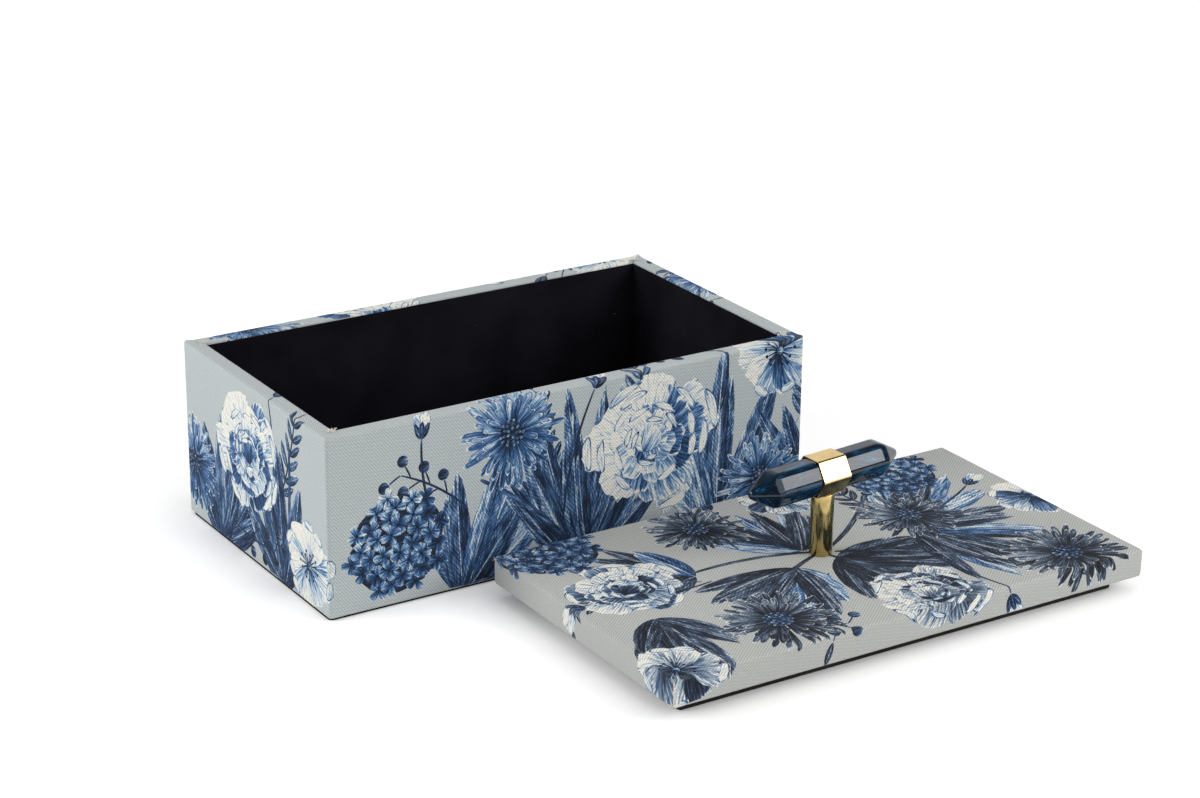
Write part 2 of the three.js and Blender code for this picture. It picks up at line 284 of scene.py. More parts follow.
class HandleSettings(bpy.types.PropertyGroup):
    """Sizes and finishes of the bar, the collar and the post"""

    turn: angle_setting("Turn", "How far the bar stands off the lid's long side", 5.4)
    bar_length: length_setting("Bar length", "Bar, tip to tip", 88.0)
    bar_flats: length_setting("Bar flats", "Bar, across its flats", 16.8)
    point_length: length_setting("Point length", "Each pointed end of the bar", 12.0)
    tip_flats: length_setting("Tip flats", "Blunt tip, across its flats", 3.5)
    bar_shoulder: length_setting("Bar shoulder", "Width ground off each side of the shoulders", 2.6)
    bar_edge: length_setting("Bar edge", "Width ground off each side of the bar's edges", 1.25)
    collar_flats: length_setting("Collar flats", "Collar, across its outer flats", 18.0)
    collar_length: length_setting("Collar length", "Collar, along the bar", 16.2)
    collar_wall: length_setting("Collar wall", "Thickness of the collar's sheet", 0.5)
    collar_fold: length_setting("Collar fold", "Width of the collar's folded corners", 0.85)
    collar_rim: length_setting("Collar rim", "Rounding of the collar's rims", 0.12)
    post_edge: length_setting("Post edge", "Rounding of the post's ends", 0.45)
    brass: colour_setting("Brass", "Polished brass", "#E8C98C")
    brass_haze: colour_setting("Brass haze", "Brass dulled by handling", "#D9B97A")
    # The post's brass is a darker, olive copy of the collar's: a painted reflection of the dark print round
    # it
    post_brass_painted_darker: colour_setting("Post brass", "Drawn brass of the post", "#CDB67E")
    post_haze_painted_darker: colour_setting("Post haze", "Darker streaks of the post", "#AB9560")
    resin_deep: colour_setting("Deep resin", "Darkest streaks", "#020913")
    resin: colour_setting("Resin", "Body of the bar", "#042036")
    resin_blue: colour_setting("Blue resin", "Blue veils", "#084466")
    resin_teal: colour_setting("Teal resin", "Teal veils", "#12688A")
    resin_glint: colour_setting("Resin glint", "Brightest flecks", "#5DBACB")


class StageSettings(bpy.types.PropertyGroup):
    """Camera, paper and lamps"""

    camera_place: bpy.props.FloatVectorProperty(
        name="Camera",
        description="Where the camera stands",
        default=(-0.6693, -1.1453, 0.5674),
        subtype="XYZ",
        unit="LENGTH",
    )
    heading: bpy.props.FloatVectorProperty(
        name="Heading",
        description="Direction the camera looks in",
        default=(0.5015, 0.7874, -0.3584),
        subtype="DIRECTION",
    )
    roll: angle_setting("Roll", "Turn of the camera about its own axis", -0.544)
    lens: bpy.props.FloatProperty(
        name="Lens", description="Focal length on a 36 mm wide frame, in millimetres", default=87.78
    )
    paper: colour_setting("Paper", "Seamless paper of the floor", "#F4F4F4")
    room_light: bpy.props.FloatProperty(
        name="Room light", description="Light that comes evenly from all round", default=0.37, min=0.0
    )
    key_power: power_setting("Key softbox", "Softbox at the front right", 9.8)
    top_power: power_setting("Overhead softbox", "Softbox above the box", 5.0)
    fill_power: power_setting("Front fill", "Large softbox in front", 6.2)
    side_power: power_setting("Side softbox", "Softbox at the back left", 14.0)


# Print: every motif is drawn flat, in millimetres, from tapering petals laid over each other

# How a petal is inked: tone at its middle, gain towards its tip and its rim, leaf ribs, share of slate ink
Look = namedtuple("Look", "tone tip rim rib ink")
PALE_PETAL = Look(0.68, 0.48, 0.16, 0.0, 0.0)
BLUE_PETAL = Look(0.42, 0.52, 0.34, 0.0, 0.1)
DEEP_PETAL = Look(0.20, 0.50, 0.42, 0.0, 0.5)
LEAF = Look(0.17, 0.06, 0.30, 1.0, 0.3)
PALE_LEAF = Look(0.44, 0.10, 0.20, 1.0, 0.0)
STEM = Look(0.24, 0.05, 0.20, 0.3, 0.4)
CORE = Look(0.02, 0.0, 0.0, 0.0, 0.6)
FLORET = Look(0.42, 0.70, 0.30, 0.0, 0.2)
CURLED_TIP = Look(0.86, 0.10, 0.05, 0.0, 0.0)

# How a petal is cut: width at its base as a share, how pointed its ends are, ruffle, points of its outline
Form = namedtuple("Form", "base point ruffle steps")
STALK_FORM = Form(1.0, 0.35, 0.0, 26)
LEAF_FORM = Form(1.15, 1.35, 0.06, 24)
STROKE_FORM = Form(1.0, 1.3, 0.10, 20)
CURL_FORM = Form(1.0, 1.1, 0.14, 14)
SPOT_FORM = Form(1.0, 1.0, 0.05, 20)
ROSE_FORM = Form(0.5, 0.85, 0.13, 26)
RAY_FORM = Form(0.35, 0.8, 0.07, 16)
FLORET_FORM = Form(0.4, 1.0, 0.0, 9)
BRIAR_FORM = Form(0.28, 0.85, 0.11, 24)
STAMEN_FORM = Form(1.0, 0.4, 0.0, 10)
CLUSTER_FORM = Form(0.35, 0.8, 0.10, 11)
BUD_FORM = Form(0.75, 1.0, 0.05, 16)

GOLDEN_ANGLE = 2.39996
LIT_FROM = 2.1  # petals that point this way are painted lighter
NOISE_SPREAD = 90.0  # each petal takes its streaks from another place in the noise
LONG_LEAF = 25.0  # a leaf longer than this may have a paler stroke


class Print:
    """Petals in the order they are laid, each with its outline, its frame and its look."""

    def __init__(self, seed):
        self.draw = random.Random(seed)
        self.outlines = []
        self.frames = []
        self.forms = []
        self.sizes = []
        self.looks = []

    def jitter(self, amount):
        """A small random step either way."""
        return self.draw.uniform(-amount, amount)

    def petal(self, at, turn, length, width, look, form, bend=0.0):
        """Lay one petal from its base at a point, in a heading."""
        angles = np.arange(form.steps) * 2 * math.pi / form.steps
        along = 0.5 - 0.5 * np.cos(angles)
        across = np.sign(np.sin(angles)) * np.abs(np.sin(angles)) ** form.point
        wave = np.array([1 + form.ruffle * share * self.draw.uniform(-1, 1) for share in along])
        x = length * (0.5 + (along - 0.5) * wave)
        y = width / 2 * across * (form.base + (1 - form.base) * along) * wave + bend * length * along**2
        cos, sin = math.cos(turn), math.sin(turn)
        self.outlines.append(np.column_stack((at[0] + x * cos - y * sin, at[1] + x * sin + y * cos)))
        self.frames.append((at[0], at[1], cos, sin, self.draw.random() * NOISE_SPREAD))
        self.forms.append((bend * length / (width / 2), form.base, 2 / form.point))
        self.sizes.append((length, width / 2, look.rib))
        self.looks.append(look)


def shade(look, tone=0.0, ink=None):
    """A look made lighter or darker, or moved to another ink."""
    return look._replace(tone=look.tone + tone, ink=look.ink if ink is None else ink)


def beside(at, turn, along, across):
    """A place measured along and across a heading."""
    cos, sin = math.cos(turn), math.sin(turn)
    return (at[0] + along * cos - across * sin, at[1] + along * sin + across * cos)


def along_stem(at, turn, length, bend, share):
    """A point and the heading at a share of a bent stem's length."""
    place = beside(at, turn, length * share, bend * length * share**2)
    return place, turn + math.atan(2 * bend * share)


# In the motifs, plain numbers are shares of the motif's own radius, length or tone, and turns in radians


def stem(art, at, turn, length, bend, width, look=STEM):
    """A stalk of even width; gives its far end and the heading there."""
    art.petal(at, turn, length, width, look, STALK_FORM, bend)
    return along_stem(at, turn, length, bend, 1.0)


def leaf(art, at, turn, length, width, look, bend=0.0):
    """A leaf; a long one often has a paler stroke along one side."""
    art.petal(at, turn, length, width, look, LEAF_FORM, bend)
    if length > LONG_LEAF and art.draw.random() < 0.65:
        place = beside(at, turn, 0.12 * length, art.jitter(0.20) * width)
        stroke = shade(look, 0.18 + art.jitter(0.10))
        reach = (0.72 + art.jitter(0.1)) * length
        art.petal(place, turn, reach, 0.26 * width, stroke, STROKE_FORM, 0.8 * bend)


def curl(art, at, turn, length, width, side):
    """The tip of a petal turned over on one side: a pale sliver across its end."""
    place = beside(at, turn, 0.93 * length, -0.10 * side * width)
    look = shade(CURLED_TIP, art.jitter(0.08))
    art.petal(place, turn + side * 1.45, 0.52 * width, 0.22 * length, look, CURL_FORM, 0.34 * side)


def disc(art, at, radius, look, steps=SPOT_FORM.steps):
    """A round spot."""
    form = SPOT_FORM._replace(steps=steps)
    art.petal((at[0] - radius, at[1]), 0.0, 2 * radius, 2 * radius, look, form)


def rosette(art, at, size, turn, look, deep):
    """A full garden rose: broad ruffled petals wound inwards round a furled heart."""
    radius = size / 2
    disc(art, at, 0.62 * radius, CORE)
    count = 30
    for i in range(count):
        share = i / (count - 1)
        angle = turn + GOLDEN_ANGLE * i + art.jitter(0.18)
        reach = radius * (1 - 0.80 * share**0.9) * (1 + art.jitter(0.07))
        long = 0.26 * radius + 0.40 * reach
        wide = (0.24 * radius + 0.70 * reach) * (1 + art.jitter(0.15))
        lit = 0.15 * math.cos(angle - LIT_FROM) - 0.08 * share + art.jitter(0.08)
        tint = deep if art.draw.random() < 0.30 else look
        place = beside(at, angle, reach - long, 0.0)
        art.petal(place, angle, long, wide, shade(tint, lit), ROSE_FORM, art.jitter(0.20))
        if art.draw.random() < 0.7:
            curl(art, place, angle, long, wide, art.draw.choice((-1, 1)))


def aster(art, at, size, turn, look, deep):
    """A daisy of narrow rays in three layers round a button of florets."""
    radius = size / 2
    for ring, (count, reach, wide) in enumerate(((30, 1.0, 0.16), (25, 0.82, 0.16), (18, 0.60, 0.14))):
        for i in range(count):
            angle = turn + 2 * math.pi * (i + 0.5 * (ring % 2)) / count + art.jitter(0.09)
            place = beside(at, angle, 0.14 * radius, 0.0)
            long = radius * (reach - 0.14) * (1 + art.jitter(0.12))
            tint = deep if art.draw.random() < 0.42 else look
            tone = 0.10 * math.cos(angle - LIT_FROM) + art.jitter(0.12)
            art.petal(place, angle, long, wide * radius, shade(tint, tone), RAY_FORM, art.jitter(0.14))
    disc(art, at, 0.24 * radius, CORE)
    for count, reach in ((13, 0.22), (9, 0.15), (5, 0.08)):
        for i in range(count):
            angle = turn + 2 * math.pi * (i + art.jitter(0.2)) / count
            place = beside(at, angle, (reach - 0.07) * radius, 0.0)
            tint = shade(FLORET, art.jitter(0.2))
            art.petal(place, angle, 0.10 * radius, 0.07 * radius, tint, FLORET_FORM)


def briar(art, at, size, turn, look, deep):
    """A single wild rose: five notched petals and a brush of stamens."""
    radius = size / 2
    wide = 0.84 * radius
    for i in range(5):
        angle = turn + 2 * math.pi * i / 5 + art.jitter(0.08)
        for side in (-1, 1):
            tint = look if art.draw.random() < 0.75 else deep
            tone = 0.08 * side + 0.10 * math.cos(angle - LIT_FROM) + art.jitter(0.06)
            lean = angle + side * 0.25
            long = radius * (1 + art.jitter(0.08))
            art.petal(at, lean, long, wide, shade(tint, tone), BRIAR_FORM, 0.06 * side)
            if art.draw.random() < 0.5:
                curl(art, at, lean, long, wide, side)
    stamens = 15
    for i in range(stamens):
        angle = turn + 2 * math.pi * (i + art.jitter(0.3)) / stamens
        long = radius * (0.30 + art.jitter(0.06))
        art.petal(at, angle, long, 0.035 * radius, CORE, STAMEN_FORM)
        disc(art, beside(at, angle, 1.1 * long, 0.0), 0.04 * radius, CORE, steps=8)
    disc(art, at, 0.09 * radius, FLORET, steps=10)


def cluster(art, at, size, turn, look, deep):
    """A round head of many small four-petalled florets."""
    radius = size / 2
    disc(art, at, 0.86 * radius, shade(CORE, 0.10))
    count = 34
    span = 0.19 * radius
    for i in range(count):
        away = 0.88 * radius * math.sqrt(1 - i / count)
        angle = turn + GOLDEN_ANGLE * i
        place = beside(at, angle, away, art.jitter(0.05) * radius)
        spin = art.draw.uniform(0, math.pi)
        tint = deep if art.draw.random() < 0.3 else look
        tone = 0.14 * math.cos(angle - LIT_FROM) * away / radius + art.jitter(0.09)
        for quarter in range(4):
            lean = spin + math.pi / 2 * quarter
            art.petal(place, lean, span, span, shade(tint, tone), CLUSTER_FORM)
        disc(art, place, 0.03 * radius, CORE, steps=7)


def frond(art, at, turn, length, bend, pairs, size, look):
    """A curved stem with pairs of narrow leaves and one at its tip."""
    for i in range(pairs):
        share = 0.2 + 0.75 * i / pairs
        place, heading = along_stem(at, turn, length, bend, share)
        for side in (-1, 1):
            lean = heading + side * (0.85 + art.jitter(0.12))
            long = size * (1.1 - 0.5 * share) * (1 + art.jitter(0.12))
            leaf(art, place, lean, long, 0.30 * long, shade(look, art.jitter(0.07)), -0.15 * side)
    tip, heading = stem(art, at, turn, length, bend, width=1.3)
    leaf(art, tip, heading, 0.8 * size, 0.24 * size, look)


def bud(art, at, turn, length, bend, size):
    """A closed flower on a thin curved stem."""
    tip, heading = stem(art, at, turn, length, bend, width=1.4)
    for lean, tone, wide in ((0.0, -0.15, 0.62), (0.22, 0.0, 0.40), (-0.22, 0.12, 0.40)):
        art.petal(tip, heading + lean, size, wide * size, shade(PALE_PETAL, tone), BUD_FORM, -0.3 * lean)
    for lean in (-0.55, 0.55, 0.0):
        leaf(art, tip, heading + lean, 0.55 * size, 0.18 * size, LEAF, -0.2 * lean)


def berries(art, at, turn, length, bend, count, size):
    """A twig of round berries, each on its own stalk."""
    for i in range(count):
        place, heading = along_stem(at, turn, length, bend, 0.35 + 0.65 * i / (count - 1))
        lean = heading + (0.8 if i % 2 else -0.8)
        end, _ = stem(art, place, lean, 1.2 * size, bend=0.1, width=0.9)
        middle = beside(end, lean, 0.4 * size, 0.0)
        disc(art, middle, size / 2, shade(DEEP_PETAL, 0.05), steps=14)
    stem(art, at, turn, length, bend, width=1.2)


def fan(art, at, turn, spread, count, length, width, look):
    """Long leaves that spring from one point."""
    order = list(range(count))
    art.draw.shuffle(order)
    for i in order:
        share = i / (count - 1) - 0.5
        lean = turn + spread * share + art.jitter(0.10)
        long = length * (1 - 0.5 * abs(share) + art.jitter(0.14))
        pick = PALE_LEAF if art.draw.random() < 0.18 else look
        wide = width * (1 + art.jitter(0.2))
        leaf(art, at, lean, long, wide, shade(pick, art.jitter(0.06)), -0.28 * share + art.jitter(0.06))


# Flower heads by name, with the look of their paler petals
HEADS = {
    "rosette": (rosette, PALE_PETAL),
    "aster": (aster, BLUE_PETAL),
    "briar": (briar, PALE_PETAL),
    "cluster": (cluster, BLUE_PETAL),
}

# Each print has the seed of its random draws, the share of slate ink in its leaves, and tables of motifs
# Places are on the flat cloth, in millimetres, and headings in radians
# Flower heads: kind, place, size, turn and share of slate ink
# Leaf fans: place, heading, spread, number, length and width
# Fronds: place, heading, length, bend, pairs and leaf size
# Stems: place, heading, length and bend
# Buds: place, heading, stem length, bend and size
# Berry twigs: place, heading, length, bend, number and size
BODY_PRINT = {
    "seed": 3,
    "leaf_ink": 0.25,
    "heads": (
        ("rosette", 30, 80, 60, 0.3, 0.0),
        ("briar", 66, 22, 42, 0.2, 0.0),
        ("aster", 96, 86, 52, 0.1, 0.0),
        ("aster", 138, 30, 50, 0.4, 0.0),
        ("rosette", 198, 54, 70, 1.0, 0.0),
        ("briar", 258, 20, 42, 0.6, 0.0),
        ("cluster", 312, 30, 56, 0.9, 0.0),
        ("aster", 372, 72, 54, 0.0, 0.0),
        ("rosette", 448, 52, 78, 0.6, 0.0),
        ("aster", 512, 20, 48, 0.2, 0.0),
        ("briar", 522, 84, 46, 0.8, 0.0),
        ("rosette", 576, 44, 62, 0.8, 0.0),
        ("aster", 630, 82, 52, 0.1, 0.0),
        ("cluster", 664, 30, 54, 0.3, 0.0),
        ("briar", 706, 82, 44, 0.1, 0.0),
        ("rosette", 756, 66, 62, 0.0, 0.0),
        ("briar", 794, 22, 42, 0.4, 0.0),
    ),
    "fans": (
        (20, -4, 1.5, 2.0, 7, 74, 13),
        (98, -2, 1.6, 1.9, 7, 70, 13),
        (168, -4, 1.5, 2.0, 8, 74, 13),
        (232, -2, 1.7, 1.6, 6, 70, 12),
        (346, -4, 1.3, 1.6, 7, 70, 12),
        (412, -6, 1.6, 1.8, 11, 94, 13),
        (486, -4, 1.4, 1.8, 9, 90, 12),
        (548, -2, 1.5, 1.6, 7, 78, 12),
        (614, -4, 1.6, 2.0, 8, 72, 12),
        (694, -2, 1.5, 1.8, 7, 74, 12),
        (752, -4, 1.6, 2.0, 8, 72, 12),
    ),
    "fronds": (
        (54, 2, 1.4, 90, -0.15, 8, 17),
        (122, 6, 1.7, 92, 0.18, 8, 16),
        (226, 36, 1.0, 62, 0.2, 6, 15),
        (404, 16, 2.0, 78, -0.2, 8, 16),
        (428, 20, 1.2, 86, 0.2, 8, 17),
        (538, 34, 1.4, 64, 0.25, 6, 15),
        (644, 10, 1.3, 90, 0.2, 8, 16),
        (734, 4, 1.8, 92, -0.2, 8, 16),
    ),
    "stems": (
        (346, 0, 1.1, 64, 0.15),
        (412, 0, 0.9, 70, 0.20),
        (412, 0, 2.2, 76, 0.20),
        (486, 0, 1.9, 62, -0.15),
        (486, 0, 1.0, 84, 0.20),
        (168, 0, 0.9, 60, 0.20),
        (232, 0, 1.3, 70, 0.15),
    ),
    "buds": (
        (74, 40, 1.3, 44, -0.3, 17),
        (222, 56, 1.3, 34, 0.35, 15),
        (330, 40, 1.9, 38, -0.2, 16),
        (400, 24, 1.5, 62, -0.2, 19),
        (488, 60, 1.2, 34, 0.3, 16),
        (600, 54, 1.2, 40, 0.3, 16),
        (728, 52, 1.5, 42, -0.25, 16),
    ),
    "twigs": (
        (178, 14, -0.2, 44, 0.2, 6, 6),
        (348, 40, 2.3, 40, 0.25, 6, 6),
        (494, 92, 2.6, 38, 0.25, 6, 6),
        (638, 56, 0.4, 40, 0.2, 6, 6),
    ),
}
LID_PRINT = {
    "seed": 8,
    "leaf_ink": 0.85,
    "heads": (
        ("briar", -124, -66, 44, 0.4, 0.7),
        ("aster", -58, -48, 56, 0.5, 0.95),
        ("rosette", 16, -60, 58, 0.9, 0.85),
        ("aster", 98, -58, 58, 0.3, 0.95),
        ("rosette", -98, 12, 60, 0.5, 0.6),
        ("aster", 62, 14, 52, 0.1, 0.9),
        ("cluster", -108, 66, 56, 0.2, 0.1),
        ("aster", -34, 52, 50, 0.5, 0.9),
        ("cluster", 84, 60, 56, 0.3, 0.0),
        ("briar", 128, 2, 42, 0.4, 0.3),
        ("briar", 20, 64, 40, 0.2, 0.6),
    ),
    "fans": (
        (-64, 8, 2.6, 2.0, 8, 58, 11),
        (-20, -8, -2.4, 1.8, 8, 62, 12),
        (4, -8, -0.9, 2.2, 10, 68, 12),
        (54, 6, 0.5, 2.0, 9, 66, 12),
        (52, 0, -1.0, 1.6, 8, 72, 11),
        (-6, 6, 1.6, 1.8, 8, 60, 11),
        (-104, -20, -1.7, 1.6, 7, 58, 11),
    ),
    "fronds": (
        (-64, 2, 2.9, 74, 0.2, 7, 15),
        (58, 8, 1.9, 66, -0.2, 7, 14),
        (-10, -20, -2.4, 66, 0.25, 7, 14),
        (50, -10, -1.2, 70, 0.2, 7, 14),
    ),
    "stems": (
        (-2, 2, 2.7, 60, 0.30),
        (-2, 0, 3.5, 92, 0.25),
        (2, -4, -1.2, 58, 0.30),
        (6, -2, -0.4, 84, -0.30),
        (6, 2, 0.5, 96, 0.25),
    ),
    "buds": (
        (-60, 0, 3.3, 62, -0.25, 18),
        (-8, 8, 1.9, 58, -0.2, 17),
        (44, -12, -1.7, 64, 0.25, 17),
        (60, 8, 0.2, 52, 0.2, 16),
    ),
    "twigs": (
        (-30, 22, 1.5, 44, 0.2, 6, 6),
        (54, 20, 0.9, 40, 0.2, 6, 6),
        (-70, -52, -0.6, 38, 0.2, 6, 6),
    ),
}

LEAF_TONE = 0.04  # leaves in fans are this much lighter than plain leaf ink
FROND_TONE = 0.08  # and those on fronds this much
STALK_TONE = 0.10  # and the main stems this much
STALK_WIDTH = 2.8  # main stems, in millimetres


def draw_print(tables):
    """Lay the leaves and twigs down first, then the buds and the flower heads over them."""
    art = Print(tables["seed"])
    ink = tables["leaf_ink"]
    for x, y, *rest in tables["fronds"]:
        frond(art, (x, y), *rest, shade(LEAF, FROND_TONE, ink))
    for x, y, *rest in tables["fans"]:
        fan(art, (x, y), *rest, shade(LEAF, LEAF_TONE, ink))
    for x, y, *rest in tables["stems"]:
        stem(art, (x, y), *rest, STALK_WIDTH, shade(STEM, STALK_TONE, ink))
    for x, y, *rest in tables["twigs"]:
        berries(art, (x, y), *rest)
    for x, y, *rest in tables["buds"]:
        bud(art, (x, y), *rest)
    for kind, x, y, size, turn, slate in tables["heads"]:
        draw_head, petal = HEADS[kind]
        # The more slate in a head, the darker it is
        pale = shade(petal, -0.15 * slate, slate)
        deep = shade(DEEP_PETAL, 0.08 - 0.12 * slate, slate)
        draw_head(art, (x, y), size, turn, pale, deep)
    return art


# Cutting the print into one sheet of triangles

CUT_REACH = 1e-4  # points of the drawing closer than this are cut as one, in millimetres
WELD = 0.004  # points of the folded cloth closer than this become one, in millimetres
WELD_SHIFT = 0.237  # keeps round sizes away from the edges of the welding steps
CLOTH_BEND = 40.0  # folds sharper than this, in degrees, stay crisp


def inside(points, outline):
    """Which points lie inside a closed outline."""
    x, y = points[:, 0], points[:, 1]
    result = np.zeros(len(points), bool)
    previous = outline[-1]
    for corner in outline:
        crosses = (corner[1] > y) != (previous[1] > y)
        rise = previous[1] - corner[1]
        reach = (previous[0] - corner[0]) * (y - corner[1]) / (rise if rise else 1.0) + corner[0]
        result ^= crosses & (x < reach)
        previous = corner
    return result


def topmost(art, points):
    """The uppermost petal over each point, or -1 where the ground shows."""
    owner = np.full(len(points), -1)
    for index in range(len(art.outlines) - 1, -1, -1):
        outline = art.outlines[index]
        low, high = outline.min(0), outline.max(0)
        near = np.flatnonzero((owner < 0) & (points > low).all(1) & (points < high).all(1))
        if len(near):
            owner[near[inside(points[near], outline)]] = index
    return owner


def shown_edges(art, allowed):
    """The stretches of the outlines that no later petal covers, as points and edges."""
    lows = np.array([outline.min(0) for outline in art.outlines])
    highs = np.array([outline.max(0) for outline in art.outlines])
    points, edges = [], []
    for index, outline in enumerate(art.outlines):
        shown = np.ones(len(outline), bool)
        over = (lows[index + 1 :] < highs[index]).all(1) & (highs[index + 1 :] > lows[index]).all(1)
        for later in np.flatnonzero(over) + index + 1:
            rest = np.flatnonzero(shown)
            if not len(rest):
                break
            shown[rest[inside(outline[rest], art.outlines[later])]] = False
        open_to_lines = allowed(outline)
        keep = (shown | np.roll(shown, -1)) & open_to_lines & np.roll(open_to_lines, -1)
        first = len(points)
        points += [tuple(corner) for corner in outline]
        edges += [(first + i, first + (i + 1) % len(outline)) for i in np.flatnonzero(keep)]
    return points, edges


def cut(points, edges, rules):
    """Triangulate points, outline edges and straight rules given as pairs of ends."""
    used = sorted({i for edge in edges for i in edge})
    place = {old: new for new, old in enumerate(used)}
    spots = [Vector(points[i]) for i in used]
    links = [(place[a], place[b]) for a, b in edges]
    for start, end in rules:
        links.append((len(spots), len(spots) + 1))
        spots += [Vector(start), Vector(end)]
    flat, _, faces, _, _, _ = delaunay_2d_cdt(spots, links, [], 0, CUT_REACH, False)
    return np.array([(v.x, v.y) for v in flat]), np.array(faces)


def grid_rules(xs, ys):
    """Rules across a whole rectangle at the given places."""
    upright = [((x, ys[0]), (x, ys[-1])) for x in xs]
    level = [((xs[0], y), (xs[-1], y)) for y in ys]
    return upright + level


def cloth_mesh(name, art, flat, faces, places, wear):
    """A mesh of the folded cloth, with each corner's place on the flat cut and on its petal."""
    owner = topmost(art, flat[faces].mean(1))
    key = np.round(places / WELD + WELD_SHIFT).astype(np.int64)
    _, first, merged = np.unique(key, axis=0, return_index=True, return_inverse=True)
    joined = merged.ravel()[faces]
    whole = (joined != np.roll(joined, 1, axis=1)).all(1)
    faces, joined, owner = faces[whole], joined[whole], owner[whole]
    mesh = bpy.data.meshes.new(name)
    mesh.from_pydata((places[first] * MM).tolist(), [], joined.tolist())
    corners = flat[faces].reshape(-1, 2)
    petal = np.repeat(owner, 3)
    inked = (petal >= 0)[:, None]
    frames = np.array(art.frames)[petal]
    sizes = np.array(art.sizes)[petal]
    looks = np.array(art.looks)[petal]
    x = corners[:, 0] - frames[:, 0]
    y = corners[:, 1] - frames[:, 1]
    along = (x * frames[:, 2] + y * frames[:, 3]) / sizes[:, 0]
    across = (y * frames[:, 2] - x * frames[:, 3]) / sizes[:, 1]
    vectors = {
        "flat_cut": np.column_stack((corners, np.zeros(len(corners)))),
        "petal_place": np.where(inked, np.column_stack((along, across, frames[:, 4])), 0.0),
        "petal_form": np.where(inked, np.array(art.forms)[petal], 0.0),
        "petal_size": np.where(inked, sizes, 0.0),
        "petal_tone": np.where(inked, looks[:, :3], 0.0),
    }
    for label, values in vectors.items():
        layer = mesh.attributes.new(label, "FLOAT_VECTOR", "CORNER")
        layer.data.foreach_set("vector", values.astype(np.float32).ravel())
    numbers = {"petal_ink": np.where(inked[:, 0], looks[:, 4], 0.0), "cloth_wear": wear[faces].ravel()}
    for label, values in numbers.items():
        layer = mesh.attributes.new(label, "FLOAT", "CORNER")
        layer.data.foreach_set("value", values.astype(np.float32))
    mesh.update()
    piece = bpy.data.objects.new(name, mesh)
    bpy.context.collection.objects.link(piece)
    bpy.context.view_layer.objects.active = piece
    bpy.ops.object.select_all(action="DESELECT")
    piece.select_set(True)
    smooth_finish(CLOTH_BEND)
    return piece


# Printed twill, with sizes in millimetres, as the flat cut has them

STREAK_LENGTH = 9.09  # brushed streaks and engraver's lines, along a petal
STREAK_WIDTH = 1.333
ENGRAVED_WIDTH = 0.588
VEIN_PITCH = 2.6
HUSK_SPACING = 16.67  # cells that may each hold one speck
RUB_PATCH = 4.0
SLUB_LENGTH = 0.909

# Where a point lies on its petal, as outputs of nodes
Petal = namedtuple("Petal", "along across side edge length reach start size tone")


def petal_frame(tree):
    """Along the petal from 0 to 1, across it from -1 to 1 at its own edges, and both in millimetres."""
    labels = ("petal_place", "petal_form", "petal_size", "petal_tone")
    read = [node(tree, "Attribute", attribute_name=label).outputs["Vector"] for label in labels]
    place, form, size, tone = (node(tree, "SeparateXYZ", (vector,)).outputs for vector in read)
    squared = node(tree, "Math", (place[0], place[0]), operation="MULTIPLY")
    curve = node(tree, "Math", (squared, form[0]), operation="MULTIPLY")
    unbent = node(tree, "Math", (place[1], curve), operation="SUBTRACT")
    narrow = node(tree, "Math", (1.0, form[1]), operation="SUBTRACT")
    taper = node(tree, "Math", (narrow, place[0], form[1]), operation="MULTIPLY_ADD")
    across = node(tree, "Math", (unbent, taper), operation="DIVIDE")
    side = node(tree, "Math", (across,), operation="ABSOLUTE")
    bulge = node(tree, "Math", (side, form[2]), operation="POWER")
    centred = node(tree, "Math", (place[0], 2.0, -1.0), operation="MULTIPLY_ADD")
    edge = node(tree, "Math", (centred, centred, bulge), operation="MULTIPLY_ADD")
    length = node(tree, "Math", (place[0], size[0]), operation="MULTIPLY")
    reach = node(tree, "Math", (across, size[1]), operation="MULTIPLY")
    return Petal(place[0], across, side, edge, length, reach, place[2], size, tone)


def strokes(tree, petal, width, detail, roughness):
    """Noise drawn out into strokes of a width in millimetres, which follow the petal."""
    run = node(tree, "Math", (petal.length, 1 / STREAK_LENGTH), operation="MULTIPLY")
    broad = node(tree, "Math", (petal.reach, 1 / width), operation="MULTIPLY")
    brush = node(tree, "CombineXYZ", (run, broad, petal.start))
    return node(tree, "TexNoise", {"Vector": brush, "Scale": 1.0, "Detail": detail, "Roughness": roughness})


def leaf_veins(tree, petal, streak):
    """The tone of a leaf's pale midrib and slanted side veins, with one half in shade."""
    slant = node(tree, "Math", (petal.reach,), operation="ABSOLUTE")
    slant = node(tree, "Math", (slant, -1.5, petal.length), operation="MULTIPLY_ADD")
    slant = node(tree, "Math", (streak, 0.5, slant), operation="MULTIPLY_ADD")
    slant = node(tree, "Math", (slant, 2 * math.pi / VEIN_PITCH), operation="MULTIPLY")
    veins = node(tree, "Math", (slant,), operation="SINE")
    veins = node(tree, "MapRange", {"Value": veins, "From Min": 0.5, "To Max": 0.15})
    rib = node(tree, "MapRange", {"Value": petal.side, "From Min": 0.09, "From Max": 0.02, "To Max": 0.32})
    half = node(tree, "Math", (petal.across,), operation="SIGN")
    rib = node(tree, "Math", (half, 0.09, rib), operation="MULTIPLY_ADD")
    return node(tree, "Math", (rib, veins), operation="ADD")


